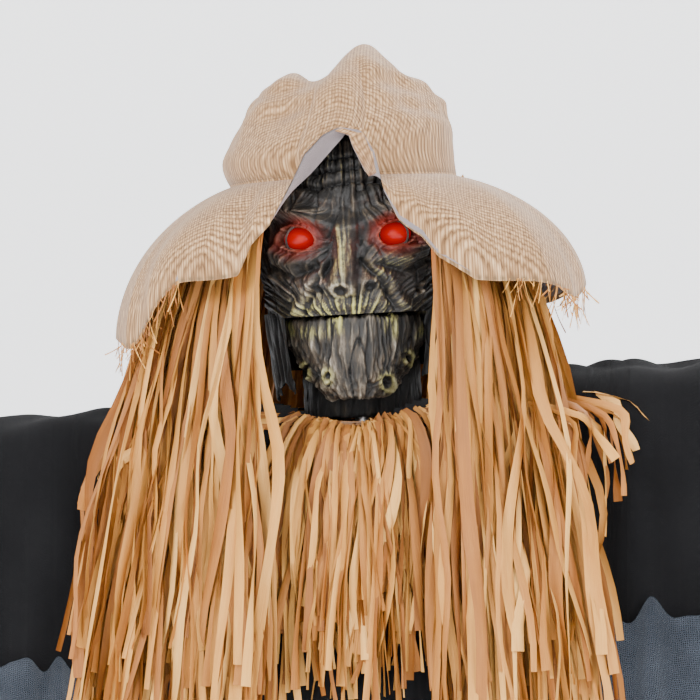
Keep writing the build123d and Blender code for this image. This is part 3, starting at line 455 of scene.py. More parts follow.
def painted_bark():
    finish = Finish("painted_bark", Specular_IOR_Level=0.4)
    relief = finish.attribute("relief")
    lichen, ember = finish.attribute("lichen"), finish.attribute("ember")
    fine = finish.noise(900, 4, finish.place((1, 1, 0.3)))
    cloud = finish.noise(55, 4)
    # Dry-brushed paint that the ridges catch, together with the painted shade along the nose and under
    # the brows that the relief mark brings from the mask.
    brush_and_shade = relief - 0.05 + (fine - 0.5) * 0.45 + (cloud - 0.5) * 0.3
    colour = finish.ramp(brush_and_shade, (0.0, (0.004, 0.004, 0.004)), (0.36, (0.012, 0.0105, 0.009)),
                         (0.6, (0.034, 0.029, 0.022)), (0.82, (0.16, 0.144, 0.115)),
                         (1.0, (0.5, 0.47, 0.39)))
    brown = (cloud * 0.6 + relief * 0.5).step(0.5, 0.75) * 0.35
    colour = finish.mix(brown, colour, (0.1, 0.062, 0.03))
    colour = finish.mix(lichen * brush_and_shade.step(0.45, 0.8), colour, (0.42, 0.4, 0.1))
    # Painted red glow of the eye lamps on the bark round the eyes.
    colour = finish.mix(ember * 0.7, colour, (0.3, 0.02, 0.004))
    return finish.surface(colour, 0.42 + fine * 0.3, fine + relief * 0.4, 0.0006)


bark = painted_bark()
eye_spread, eye_height, eye_wide, eye_tall = 45.5, 183, 13.8, 10.0
nose_tip = (-5, 134)
skull_heights = (45, 105, 165, 225, 275, 293)
skull_wide, skull_deep = (72, 86, 90, 85, 64, 34), (76, 95, 102, 99, 78, 40)


def bark_grain(x, h):
    """Which way the streaks of the mask run: down, parting round the eyes and the nose."""
    lean = -0.5 * math.pi + 0.012 * x * clamp((200 - h) / 60)
    for side in (-1, 1):
        dx, dh = x - side * eye_spread, h - eye_height
        round_eye = np.arctan2(dx * 0.55, -dh)
        weight = hill(dx, 40) * hill(dh, 27) * clamp((np.abs(x) - 9) / 12)
        lean = lean * (1 - weight) + round_eye * weight
    return lean


def mask_relief(x, h):
    """How far the mask stands out from a smooth skull, in millimetres."""
    out = 7 * (bump(x, h, (-56, 148), 26, 22) + bump(x, h, (56, 148), 26, 22))
    for side in (-x, x):
        out += 14 * ridge(side, h, [(88, 214), (62, 213), (34, 203), (9, 190)], 9.5)
        out += 5 * ridge(side, h, [(80, 228), (45, 226), (12, 216)], 6)
        out += 7.5 * ridge(side, h, [(72, 172), (55, 161), (34, 162), (20, 172)], 6)
        out -= 5 * ridge(side, h, [(76, 158), (52, 146), (26, 155)], 3.2)
        out += 6 * ridge(side, h, [(22, 158), (38, 138), (52, 112)], 6)
        out -= 6 * ridge(side, h, [(13, 158), (29, 138), (43, 112)], 3)
        out += 6 * ridge(side, h, [(88, 196), (74, 176), (78, 150)], 7)
    along = clamp((204 - h) / 68)
    nose = ridge(x, h, [(1, 204), (-1, 180), nose_tip], 5.5 + 5.5 * along)
    out += nose * (6 + 20 * along ** 1.5) * (1 / (1 + np.exp((125 - h) / 1.2)))
    out -= 15 * bump(x, h, (-6, 131.5), 5.5)
    for place in ((-26, 136), (20, 137)):
        out += 12 * bump(x, h, place, 9.5, 8) - 11 * bump(x, h, (place[0], place[1] - 4), 4.5)
    out += 5 * ridge(x, h, [(-52, 113), (-20, 117), (18, 117), (54, 114)], 7)
    out += 7 * bump(x, h, (68, 130), 9) - 12 * bump(x, h, (68, 130), 3.8)
    out -= 6 * ridge(x, h, [(-80, 238), (-30, 230), (8, 236), (60, 232), (84, 236)], 2.6)
    out -= 4.5 * ridge(x, h, [(-70, 251), (-25, 246), (20, 249), (66, 246)], 2.2)
    out -= 3.5 * ridge(x, h, [(-60, 262), (-14, 258), (30, 261)], 1.8)
    return out


def nose_paint(x, h):
    return ridge(x, h, [(1, 190), (-3, 160), (-5, 138)], 8) + 0.8 * bump(x, h, (-26, 140), 9) \
        + 0.8 * bump(x, h, (20, 143), 9)


def ring_paint(x, h):
    """Bright rims and black insides of the broken branch ends."""
    paint = 0
    for place, radius, bright in (((-6, 131.5), 8, 0.4), ((-26, 135), 8.5, 0.16), ((20, 135), 8, 0.05),
                                  ((68, 130), 5.5, 0.3)):
        away = np.hypot(x - place[0], (h - place[1]) * 1.15)
        paint = paint + bright * hill(away - radius, 2) - 0.8 * np.exp(-(away / (radius * 0.62)) ** 4)
    return paint


# Painted shade: dark lines down both sides of the nose and under the inner brows.
def nose_shade(x, h):
    sides = ridge(x, h, [(-9, 196), (-15, 165), (-19, 148)], 4) + ridge(x, h, [(10, 196), (9, 148)], 4)
    return -0.35 * sides - 0.3 * ridge(x, h, [(-60, 200), (-20, 190)], 4) \
        - 0.3 * ridge(x, h, [(60, 199), (20, 191)], 4)


def mask(name, turn, height, rows, cols, node):
    """Part of the mask: turn is the range of angles from straight ahead, in degrees."""
    down, across = steps(rows, cols)
    angle = np.radians(turn[0] + (turn[1] - turn[0]) * across)
    h = height[1] + (height[0] - height[1]) * down
    wide, deep = [soften(np.interp(h, skull_heights, reach), 40) for reach in (skull_wide, skull_deep)]
    x, y = wide * np.sin(angle), -5 - deep * np.cos(angle)
    arc_per_degree = 1.55
    arc = np.degrees(angle) * arc_per_degree
    front = clamp(np.cos(angle) * 1.6) * (np.abs(angle) < math.pi / 2)
    lean = bark_grain(arc, h)
    coarse, fine = grain(lean, 7, 36, 1), grain(lean, 1, 22, 2)
    flat = joined(arc, h, 0 * h)
    planks = np.abs(wobble(flat, 16, 3, (1, 0.16, 1)))
    cracks = clamp(1 - planks / 0.22) ** 1.5 * (0.55 + 0.45 * (h > 225))
    streaks = coarse * 4.2 + fine * 1.5 - cracks * 4.4
    features = mask_relief(arc * 0.985, h) * front
    hollow, lids = np.zeros(h.shape), np.zeros(h.shape)
    for side in (-1, 1):
        dx = x - side * eye_spread
        dh = h - eye_height - 0.12 * side * dx
        round_eye = np.hypot(dx / eye_wide, dh / eye_tall)
        hollow = np.maximum(hollow, 1 / (1 + np.exp((round_eye - 1.0) * 20)))
        lids = np.maximum(lids, hill(round_eye - 1.28, 0.2))
    out = features + streaks * (1 - hollow) + 4.5 * lids - 27 * hollow
    shape = on_head(x, y, h)
    outward = unit(np.cross(np.gradient(shape, axis=0), np.gradient(shape, axis=1)))
    shape += outward * (out * 0.001)[..., None]
    shade = soften(out, 14)
    dry = 0.38 + 0.75 * bump(x, h, (-4, 118), 62, 17) + 0.9 * nose_paint(x, h)
    dry += 0.42 * bump(x, h, (-60, 150), 26, 30) + 0.7 * bump(x, h, (40, 207), 30, 11)
    dry += 0.5 * bump(x, h, (48, 160), 28, 8) + 0.55 * bump(x, h, (-45, 207), 30, 10)
    relief = 0.42 + (out - shade) * 0.16 + 0.34 * (fine * 0.5 + coarse * 0.5 - 0.5) - hollow * 0.6
    # The relief mark also takes the bright rims and black insides of the branch ends and the painted
    # shade beside the nose and under the brows.
    relief = relief * (0.52 + 0.8 * clamp(dry)) + ring_paint(x, h) + nose_shade(x, h)
    relief = clamp(relief)
    lichen = clamp(bump(x, h, (-8, 113), 46, 11) + bump(x, h, (38, 150), 12)
                   + 0.7 * bump(x, h, (-30, 250), 30, 14) + 0.6 * bump(x, h, (-6, 168), 9, 22))
    # Painted red glow of the eye lamps, a soft ring round each eye.
    ember = 0.36 * sum(hill(np.hypot(x - side * eye_spread, (h - eye_height) * 1.3) - 17, 6)
                       for side in (-1, 1))
    piece = make(name, shape, grid_faces(rows, cols)[:, ::-1], bark, joined(arc, h) * 0.001,
                 relief=relief, lichen=lichen * (0.4 + 0.6 * coarse), ember=clamp(ember))
    fit(piece, "head", node)


mask("mask_face", (-97, 97), (107, 292), 300, 330, "face_shell")
mask("mask_back", (83, 277), (55, 292), 120, 160, "back_shell")

# Each eye is a clear red dome over a lamp, set in a charcoal ring.

def red_lens():
    finish = Finish("red_lens", Roughness=0.3, Specular_IOR_Level=0.1, Coat_Weight=0.25,
                    Coat_Roughness=0.03, Emission_Strength=0.36)
    facet = finish.noise(260, 2)
    height = finish.attribute("rim")
    colour = finish.mix(facet, (0.12, 0.001, 0.001), (0.16, 0.002, 0.001))
    lit = finish.mix((height + facet * 0.2).step(0.2, 1.0), (0.95, 0.008, 0.004), (0.6, 0.003, 0.002))
    return finish.surface(colour, **{"Emission Color": lit})


lens = red_lens()
sides = ((-1, "left"), (1, "right"))
dome_wide, dome_tall, dome_deep, dome_seat, lamp_seat = 16.6, 11.8, 11.5, -84, -122
for side, name in sides:
    down, across = steps(24, 48)
    reach, turn = down * 0.5 * math.pi, across * 2 * math.pi
    x = side * eye_spread + dome_wide * np.sin(reach) * np.cos(turn)
    h = eye_height + dome_tall * np.sin(reach) * np.sin(turn)
    y = dome_seat - dome_deep * np.cos(reach)
    piece = make("eye_dome_" + name, on_head(x, y, h), grid_faces(24, 48), lens, rim=np.sin(reach))
    fit(piece, "head", "eye_lenses")
    glow = bpy.data.objects.new("eye_glow", bpy.data.lights.new("eye_glow", "POINT"))
    glow.data.energy, glow.data.color, glow.data.shadow_soft_size = 0.05, (1, 0.12, 0.03), 0.012
    glow.location = on_head(side * eye_spread, lamp_seat, eye_height)
    bpy.context.collection.objects.link(glow)

# ---- Neck, jaw and hands ----
# Thinner mouldings of the same painted bark: a stump that hides the neck shaft, a bark beard
# on the jaw hinge, and two twiggy hands.


def carved(name, node, body, voxel, depth, stretch, seed, paint=(0.3, 0.62), knots=()):
    """A CAD piece with bark cut into it: stretch sets which way the streaks run, paint how
    much of it the ridges catch, and knots where branches broke off, across and up."""
    source = frame["nodes"][node]
    work = bpy.data.objects.new(name + "_work", source.data.copy())
    bpy.context.collection.objects.link(work)
    work.matrix_world = source.matrix_world
    modifier = work.modifiers.new("voxels", "REMESH")
    modifier.mode, modifier.voxel_size = "VOXEL", voxel
    work.modifiers.new("smooth", "SMOOTH").iterations = 3
    bpy.context.view_layer.update()
    solid = work.evaluated_get(bpy.context.evaluated_depsgraph_get()).to_mesh()
    points, out = np.empty((len(solid.vertices), 3)), np.empty((len(solid.vertices), 3), np.float32)
    solid.vertices.foreach_get("co", points.ravel())
    solid.vertices.foreach_get("normal", out.ravel())
    faces = [tuple(face.vertices) for face in solid.polygons]
    planks = np.abs(wobble(points, 0.011, seed, stretch))
    cracks = clamp(1 - planks / 0.2) ** 1.4
    coarse = wobble(points, 0.006, seed + 1, stretch, 20) * 0.5 + 0.5
    fine = wobble(points, 0.0018, seed + 2, stretch, 40) * 0.5 + 0.5
    amount = coarse * 0.45 + fine * 0.34 - cracks * 0.75
    lichen = 0 * planks
    for x, h, radius in knots:
        aside, above = (points - neck) @ head_x * 1000 - x, (points - neck) @ head_up * 1000 - h
        away = np.hypot(aside, above * 0.75)
        facing = points[:, 1] < -0.04
        amount += facing * (0.5 * hill(away - radius, 2.2) - 1.3 * hill(away, radius * 0.6))
        lichen += 0.4 * facing * hill(away - radius, 3)
    if knots:
        lichen += (0.9 * clamp(wobble(points, 0.02, seed + 4))
                   * clamp((points[:, 2] - 1.535) / 0.02))
    points += out * (amount * depth)[:, None]
    marks = {"relief": clamp(paint[0] + amount * paint[1]), "ember": 0 * planks,
             "lichen": clamp(lichen)}
    piece = make(name, points, [f for f in faces if len(f) == 4], bark, **marks)
    bpy.data.objects.remove(work)
    fit(piece, body, node)


carved("bark_neck", "neck_trunk", "head", 0.0016, 0.0025, (1, 1, 0.16), 11, (0.2, 0.4))
carved("bark_jaw", "jaw_shell", "jaw", 0.0011, 0.005, (1, 1, 0.15), 21, (0.3, 0.72),
       ((-25, 49, 4), (-49, 55, 5), (29, 40, 5.5), (50, 62, 4)))
for side in ("left", "right"):
    carved("bark_hand_" + side, "hand_" + side, "hand_" + side, 0.0014, 0.003, (0.2, 1, 1), 31)

# Loose planks of bark that hang from the mask on either side of the jaw.
for name, turns, low in (("left", (-118, -48), 34), ("right", (52, 118), 52)):
    down, across = steps(90, 120)
    angle = np.radians(turns[0] + (turns[1] - turns[0]) * across)
    fringe = 9 * ripple(angle * 60, 7, 45)
    height = 112 + (low + fringe - 112) * down
    reach = 91 - 9 * down
    flat = joined(angle * 90, height, 0 * height)
    cracks = clamp(1 - np.abs(wobble(flat, 9, 46, (1, 0.12, 1))) / 0.22)
    streak = 0.5 + 0.5 * wobble(flat, 4, 47, (1, 0.12, 1), 20)
    reach = reach + 2.5 * streak - 3.5 * cracks
    points = on_head(reach * np.sin(angle), -5 - reach * np.cos(angle), height)
    piece = make("bark_plank_" + name, points, grid_faces(90, 120)[:, ::-1], bark,
                 relief=clamp(0.12 + 0.36 * streak - 0.3 * cracks), lichen=0 * streak,
                 ember=0 * streak)
    fit(piece, "head")

# ---- Hat ----
# A floppy hat sewn from coarse tan jute burlap, a crown and a wide brim that dips at both
# sides and is slit open over the face. A smooth grey-mauve lining is sewn inside, and the cut edges
# are whip-stitched and fray into loose yarns.

weave_pitch = 0.0029
thread_fullness = 0.7


def burlap():
    finish = Finish("burlap", Roughness=0.9, Specular_IOR_Level=0.15, Sheen_Weight=0.2)
    across, along = finish.threads()
    stray = (finish.noise(22, 1, finish.map()) - 0.5) * 0.0016
    stray_v = (finish.noise(25, 1, finish.map((1.3, 0.8, 1))) - 0.5) * 0.0016
    u, v = (across + stray) / weave_pitch, (along + stray_v) / weave_pitch
    slub_u = finish.noise(1, 2, finish.map((1 / weave_pitch, 14, 1)))
    slub_v = finish.noise(1, 2, finish.map((14, 1 / weave_pitch, 1)))
    swell_u, swell_v = (u * math.pi).sine().size(), (v * math.pi).sine().size()
    over = (u * math.pi).sine() * (v * math.pi).sine()
    thread_u = swell_u ** thread_fullness * (0.5 + over * 0.5) * (0.75 + slub_u * 0.5)
    thread_v = swell_v ** thread_fullness * (0.5 - over * 0.5) * (0.75 + slub_v * 0.5)
    height = thread_u.highest(thread_v)
    first = (thread_u - thread_v).step(-0.05, 0.05)
    tone = slub_u * first + slub_v * (1 - first)
    fibre = finish.noise(1900, 3, finish.map())
    knots = finish.noise(300, 2, finish.map())
    cloud = finish.noise(9, 4)
    shade = (height * 0.7 + tone * 0.5 + fibre * 0.3 + knots * 0.8 - 0.68).highest(0).lowest(1)
    colour = finish.ramp(shade, (0.0, (0.03, 0.013, 0.005)), (0.3, (0.17, 0.088, 0.038)),
                         (0.56, (0.34, 0.195, 0.09)), (1.0, (0.64, 0.42, 0.23)))
    colour = finish.mix(cloud.step(0.38, 0.7) * 0.35, colour, (0.27, 0.15, 0.07))
    edge = finish.attribute("edge")
    colour = finish.mix(edge, colour, (0.13, 0.08, 0.04))
    return finish.surface(colour, height=height + fibre * 0.15, depth=0.0004)


def lining_cloth():
    finish = Finish("lining", Roughness=0.85, Sheen_Weight=0.3, Specular_IOR_Level=0.2)
    fine = finish.noise(1500, 2, finish.map())
    cloud = finish.noise(14, 3)
    colour = finish.mix(cloud * 0.6 + fine * 0.3, (0.13, 0.108, 0.11), (0.27, 0.232, 0.235))
    return finish.surface(colour, height=fine + cloud, depth=0.0005)


jute, lining = burlap(), lining_cloth()

# Each point of the rim: turn from straight ahead in degrees, then across, behind and up.
rim_turns, rim_across, rim_behind, rim_height = np.array((
    (-180, 0, 192, 112), (-150, -110, 172, 106), (-120, -195, 100, 99), (-100, -226, 35, 95),
    (-86, -234, -55, 92), (-74, -226, -108, 93), (-62, -196, -128, 113), (-51, -158, -135, 137),
    (-43, -137, -147, 143), (-35, -103, -152, 149), (-29, -88, -152, 177), (-24, -70, -150, 194),
    (-19, -55, -145, 223), (-13, -34, -137, 264), (-6, -15, -131, 282), (0, 2, -128, 288),
    (8, 22, -131, 283), (13, 34, -137, 262), (17, 41, -142, 228), (22, 56, -147, 202),
    (28, 78, -150, 184), (34, 92, -152, 160), (41, 125, -150, 133), (51, 150, -143, 127),
    (63, 190, -130, 117), (75, 220, -98, 114), (86, 231, -50, 124), (100, 224, 25, 121),
    (120, 192, 95, 112), (150, 112, 170, 108), (180, 0, 192, 112)), dtype=float).T
peak_height, band_height, crown_radius = 353, 240, 113


def hat_surface(t, turn, inset=0.0):
    """Crown from t 0 at the peak to 1 at the band, then brim to 2 at the rim; turn in degrees."""
    angle = np.radians(turn)
    rim = [np.interp(turn, rim_turns, values) for values in (rim_across, rim_behind, rim_height)]
    opening = clamp((rim[2] - 205) / 60)
    low = band_height + (rim[2] - 4 - band_height) * clamp((rim[2] - 236) / 10)
    c = clamp(t)
    bend = np.sin(c * 0.5 * math.pi)
    h = peak_height - (peak_height - low) * (1 - np.cos(c * 0.5 * math.pi) ** 0.82)
    radius = crown_radius * bend ** 0.74
    radius *= 1 + 0.05 * np.sin(math.pi * clamp((h - 238) / 70))
    radius += 9 * clamp((c - 0.72) / 0.28) ** 2 * hill(turn, 62) - inset
    x = radius * np.sin(angle) * 0.985 - 11 * hill(h - 262, 30)
    y = -radius * np.cos(angle)
    peak, knob = bump(x, y, (21, -8), 25, 62), bump(x, y, (-56, -10), 17, 55)
    valley = bump(x, y, (-26, -4), 17, 70)
    top = clamp((h - 285) / 60)
    h = h + top * (24 * peak + 8 * knob - 13 * valley - inset)
    points = joined(x, y, h)
    creases = 4.2 * wobble(points, 38, 5, (1, 0.6, 0.7)) + 1.5 * wobble(points, 17, 6, (0.5, 0.7, 1))
    swell = np.sin(math.pi * clamp(c * 1.1)) * (1 - 0.5 * opening)
    x, y = x + creases * swell * np.sin(angle), y - creases * swell * np.cos(angle)
    h = h + creases * 0.5 * swell
    b = clamp(t - 1)
    out, fall = 1 - (1 - b) ** 1.8, b ** 1.22
    folds = np.sin(np.radians(turn) * 7 + 1.1) * 7 + np.sin(np.radians(turn) * 12 + 0.4) * 4
    folds += 3 * ripple(turn, 22, 9, 40 * b)
    folds *= b * (1 - 0.75 * opening)
    x = x + (rim[0] - x) * out + folds * np.sin(angle) * 0.6
    y = y + (rim[1] - y) * out - folds * np.cos(angle) * 0.6
    h = h + (rim[2] - h) * fall + folds * 0.8 + 3.5 * b * (1 - b) * 4 * (1 - opening) - inset * b * 0.8
    return joined(x, y, h)


def so_far(lengths, axis):
    """The running total of lengths along an axis, from 0."""
    return np.insert(lengths.cumsum(axis=axis), 0, 0, axis=axis)


def sheet_piece(name, points, material, node, body, held, flat=None, hole=0, **marks):
    """A single layer of cloth from a grid of points in metres, cut flat to its own spread,
    less any hole about the pole."""
    along = np.linalg.norm(np.diff(points, axis=0), axis=-1)
    across = np.linalg.norm(np.diff(points, axis=1), axis=-1)
    if flat is None:
        middle = across.sum(axis=1, keepdims=True) / 2
        flat = joined(so_far(across, 1) - middle, so_far(along, 0))
    faces = grid_faces(*points.shape[:2])
    middle = points.reshape(-1, 3)[faces].mean(axis=1)
    faces = faces[np.hypot(middle[:, 0], middle[:, 1]) >= hole]
    piece = fit(make(name, points, faces, material, flat, **marks), body, node)


def hat_part(name, t, rows, cols, material, node, inset=0.0, edge_at=None):
    """One panel of cloth all round the hat, from t[0] to t[1] down it."""
    down, across = steps(rows, cols)
    turn = 360 * across - 180
    level = t[0] + (t[1] - t[0]) * down
    local = hat_surface(level, turn, inset)
    points = on_head(local[..., 0], local[..., 1], local[..., 2])
    radius, slant = 1.12 * np.hypot(local[..., 0], local[..., 1]), 0.78 * np.radians(turn)
    flat = joined(radius * np.sin(slant), radius * np.cos(slant))
    edge = np.zeros(level.shape)
    if edge_at is not None:
        stitch = 0.55 + 0.45 * np.sin(np.radians(turn) * 130)
        edge = hill(level - edge_at, 0.018) * stitch
    sheet_piece(name, points, material, node, "head", "hung", flat * 0.001, edge=edge)


hat_part("hat_crown_cloth", (0.003, 1.02), 150, 420, jute, "hat_crown", edge_at=1.0)
hat_part("hat_brim_cloth", (0.99, 2.0), 120, 640, jute, "hat_brim", edge_at=1.985)
hat_part("hat_crown_lining", (0.03, 1.02), 60, 160, lining, "hat_lining", 4.0)
hat_part("hat_brim_lining", (1.0, 1.955), 50, 240, lining, "hat_brim", 3.2)

# The lining is turned out along the left edge of the opening.
down, across = steps(8, 60)
edge = hat_surface(np.full(across.shape, 1.98), -23 + 23 * across, 2.0)
inner = np.stack([np.interp(across, (0, 0.45, 1), values) for values in
                  ((-55, -30, 6), (-128, -118, -116), (222, 244, 281))], axis=-1)
facing = edge + (inner - edge) * down[..., None]
facing[..., 1] += 5 * np.sin(down * math.pi)
sheet_piece("hat_facing", on_head(facing[..., 0], facing[..., 1], facing[..., 2]), lining, None,
            "head", "hung")


def strands(starts, paths, widths, seed):
    """Folded ribbons along paths (strand, step, xyz): points, faces, flat and tone."""
    rng = np.random.default_rng(seed)
    twist, fold = 0.6, 0.22
    count, length = paths.shape[:2]
    tangent, facing = unit(np.gradient(paths, axis=1)), unit(starts * (0.35, 1, 0))
    flatwise = unit(np.cross(tangent, facing[:, None, :]))
    depthwise = np.cross(flatwise, tangent)
    at = np.linspace(0, 1, length)[None, :]
    roll = (rng.normal(0, twist, (count, 1)) + rng.normal(0, twist * 1.6, (count, 1)) * at
            + 0.5 * np.sin(at * rng.uniform(4, 12, (count, 1)) + rng.uniform(0, 6, (count, 1))))
    wide = flatwise * np.cos(roll)[..., None] + depthwise * np.sin(roll)[..., None]
    deep = depthwise * np.cos(roll)[..., None] - flatwise * np.sin(roll)[..., None]
    half = widths[:, None] * 0.5 * (1 - 0.35 * np.sin(at * rng.uniform(3, 9, (count, 1))) ** 2)
    crease = half * (fold + 0.25 * rng.random((count, 1)))
    rails = [paths - wide * half[..., None], paths + deep * crease[..., None],
             paths + wide * half[..., None]]
    points = np.stack(rails, axis=2)
    corner = np.arange(count * length * 3).reshape(count, length, 3)
    faces = joined(corner[:, :-1, :-1], corner[:, :-1, 1:], corner[:, 1:, 1:],
                   corner[:, 1:, :-1]).reshape(-1, 4)
    run = so_far(np.linalg.norm(np.diff(paths, axis=1), axis=-1), 1)
    side = joined(-half, 0 * half, half) + rng.uniform(0, 3, (count, 1, 1))
    flat = joined(side, np.repeat(run[..., None], 3, axis=2))
    tone = np.broadcast_to(rng.random((count, 1, 1)), side.shape)
    return points, faces, flat, tone


def raffia():
    finish = Finish("raffia", Specular_IOR_Level=0.35)
    tone, shadow = finish.attribute("tone"), finish.attribute("shadow")
    fibre = finish.noise(1, 3, finish.map((2600, 22, 1)))
    blotch = finish.noise(1, 3, finish.map((90, 12, 1)))
    mixed = tone * 0.5 + fibre * 0.36 + blotch * 0.3 - 0.1
    colour = finish.ramp(mixed, (0.1, (0.15, 0.038, 0.005)), (0.36, (0.42, 0.15, 0.02)),
                         (0.6, (0.66, 0.31, 0.06)), (0.95, (0.86, 0.56, 0.2)))
    colour = finish.mix(shadow, colour, (0.2, 0.075, 0.018))
    return finish.surface(colour, 0.42 + fibre * 0.3, fibre, 0.0005)


straw = raffia()


def bundle(name, starts, paths, widths, seed, node, body, dark):
    points, faces, flat, tone = strands(starts, paths, widths, seed)
    depth = np.broadcast_to((1 - np.linspace(0, 1, paths.shape[1]))[None, :, None], tone.shape)
    shadow = clamp(dark * (0.4 + 0.6 * depth ** 2) * (1.3 - tone))
    return fit(make(name, points, faces, straw, flat, tone=tone, shadow=shadow), body, node)


# Loose yarns where the burlap has frayed at the brim's corners.
rng = np.random.default_rng(4)
fray_turns = np.concatenate((rng.uniform(-84, -50, 60), rng.uniform(52, 88, 60),
                             rng.uniform(95, 265, 70)))
fray_turns = np.where(fray_turns > 180, fray_turns - 360, fray_turns)
place = hat_surface(np.full(fray_turns.shape, 1.985), fray_turns)
root = on_head(place[:, 0], place[:, 1], place[:, 2])
down = np.linspace(0, 1, 8)[None, :, None]
aside = rng.normal(0, 0.008, (len(root), 1, 3)) * [1, 1, 0.4]
length = rng.uniform(0.008, 0.034, (len(root), 1, 1))
paths = root[:, None, :] + aside * down ** 1.5 - np.array([0, 0, 1]) * length * down
bundle("hat_fray", root, paths, rng.uniform(0.0008, 0.0018, len(root)), 8, None, "head", 0.5)

# ---- Hair ----
# Long flat ribbons of raffia, split and curled lengthwise, glued under the hat and hanging in
# front of each shoulder and down the back. They rest on the chest.


def relax(paths, times):
    for _ in range(times):
        paths[:, 1:-1] = 0.25 * paths[:, :-2] + 0.5 * paths[:, 1:-1] + 0.25 * paths[:, 2:]


def hanging(root, mid, end, seed):
    """Paths that leave root outward, pass mid and hang to end, with a lazy wave."""
    rng = np.random.default_rng(seed)
    curl, knee = 0.006, 0.27
    t = np.linspace(0, 1, 18)[None, :, None]
    first = clamp(t / knee)
    second = clamp((t - knee) / (1 - knee))
    ease = 1 - (1 - first) ** 1.7
    a = root[:, None] + (mid - root)[:, None] * np.concatenate((ease, ease, first ** 1.25), axis=2)
    paths = a + (end - mid)[:, None] * np.concatenate((second ** 0.85, second ** 0.85, second), axis=2)
    relax(paths, 3)
    t = t[..., 0]
    for axis in (0, 1):
        for wave in (1, 2, 3.5):
            amount = rng.normal(0, curl / wave ** 0.8, (len(root), 1)) * clamp(t * 2.2)
            phase = rng.uniform(0, 6.28, (len(root), 1))
            paths[:, :, axis] += amount * (np.sin(t * wave * 5 + phase) - np.sin(phase))
    return paths


def clear_of(paths, centre, radii):
    """Pushes points out of an ellipsoid about the head."""
    away = (paths - centre) / radii
    far = np.linalg.norm(away, axis=-1, keepdims=True)
    return np.where(far < 1, centre + away / np.maximum(far, 0.3) * radii, paths)


def hair(name, node, count, turns, mid, end, low, seed):
    rng = np.random.default_rng(seed)
    pick = rng.random(count)
    turn = np.radians(turns[0] + (turns[1] - turns[0]) * pick)
    ring = rng.uniform(96, 110, count)
    root = on_head(ring * np.sin(turn), -ring * np.cos(turn), rng.uniform(226, 238, count))
    spread = clamp(pick + rng.normal(0, 0.16, count))[:, None]
    deep = rng.random((count, 1))
    middle = np.array(mid[0]) * (1 - spread) + np.array(mid[1]) * spread
    middle[:, 1] += (deep[:, 0] - 0.5) * 0.03
    last = np.array(end[0]) * (1 - spread) + np.array(end[1]) * spread
    last[:, 0] += rng.normal(0, 0.014, count)
    last[:, 1] += (deep[:, 0] - 0.5) * 0.05
    last[:, 2] = low + 0.12 * rng.random(count) ** 1.6
    paths = clear_of(hanging(root, middle, last, seed + 1), on_head(0, -5, 160), skull_size)
    piece = bundle(name, root - neck, paths, rng.uniform(0.005, 0.015, count), seed + 2, node,
                   None, 0.75)
    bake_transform(piece)


skull_size = np.array((0.106, 0.119, 0.16))
hair("hair_straw_left", "hair_left", 270, (-52, -105), ((-0.1, -0.126, 1.53), (-0.212, -0.085, 1.53)),
     ((-0.1, -0.15, 0), (-0.268, -0.135, 0)), 1.135, 50)
hair("hair_straw_right", "hair_right", 250, (50, 105), ((0.086, -0.126, 1.55), (0.182, -0.09, 1.55)),
     ((0.098, -0.15, 0), (0.238, -0.135, 0)), 1.135, 60)
hair("hair_straw_back", "hair_back", 260, (118, 242), ((0.13, 0.125, 1.53), (-0.13, 0.125, 1.53)),
     ((0.165, 0.145, 0), (-0.165, 0.145, 0)), 1.225, 70)

# ---- Collar ----
# Browner raffia gathered on a stitched neck band. It hangs over the chest and the back in
# square-cut ends and lies across both shoulders.

slope, shoulder_height = math.tan(math.radians(5)), 1.427


def collar_path(side_angle, reach, drop, seed):
    """From the band out over the shoulders and down."""
    rng = np.random.default_rng(seed)
    count = len(side_angle)
    t = np.linspace(0, 1, 15)[None, :]
    sin, cos = np.sin(side_angle)[:, None], np.cos(side_angle)[:, None]
    gathered, chest_depth = 0.06, 0.112
    out = gathered + (reach[:, None] - gathered) * clamp(t / 0.38) ** 0.8
    x = out * sin * 1.04
    y = -out * cos
    y = np.sign(y) * np.minimum(np.abs(y), chest_depth + 0.012 * rng.random((count, 1)))
    shoulder = shoulder_height + 0.01 + 0.023 * np.abs(sin) + x * slope
    over = shoulder + 0.008 * rng.random((count, 1)) + 0.012 * np.sin(clamp(t / 0.3) * math.pi)
    fall = clamp((t - 0.22) / 0.78)
    z = over - drop[:, None] * fall ** 1.15
    x = x + 0.02 * rng.normal(0, 1, (count, 1)) * fall
    paths = joined(x, y, z)
    for axis in range(2):
        paths[..., axis] += rng.normal(0, 0.005, (count, 1)) * np.sin(t * rng.uniform(4, 11, (count, 1)))
    relax(paths, 2)
    under_jaw = 1.456 + 0.8 * np.maximum(np.hypot(paths[..., 0], paths[..., 1]) - 0.075, 0)
    paths[..., 2] = np.minimum(paths[..., 2], under_jaw)
    return paths


def collar(name, node, count, turns, reach, drop, seed, dark):
    rng = np.random.default_rng(seed)
    angle = np.radians(rng.uniform(*turns, count))
    paths = collar_path(angle, rng.uniform(*reach, count), rng.uniform(*drop, count), seed + 1)
    bundle(name, paths[:, -1] * [1, 1, 0], paths, rng.uniform(0.006, 0.013, count), seed + 2,
           node, "stand", dark)


collar("collar_straw_front", "collar_front", 230, (-52, 52), (0.104, 0.13), (0.16, 0.262), 80, 0.7)
collar("collar_straw_back", "collar_back", 190, (128, 232), (0.104, 0.13), (0.16, 0.262), 84, 0.7)
for name, middle, seed in (("left", -90, 88), ("right", 90, 92)):
    collar("collar_straw_" + name, "collar_shoulders", 150, (middle - 44, middle + 44),
           (0.14, 0.27), (0.05, 0.15), seed, 0.5)


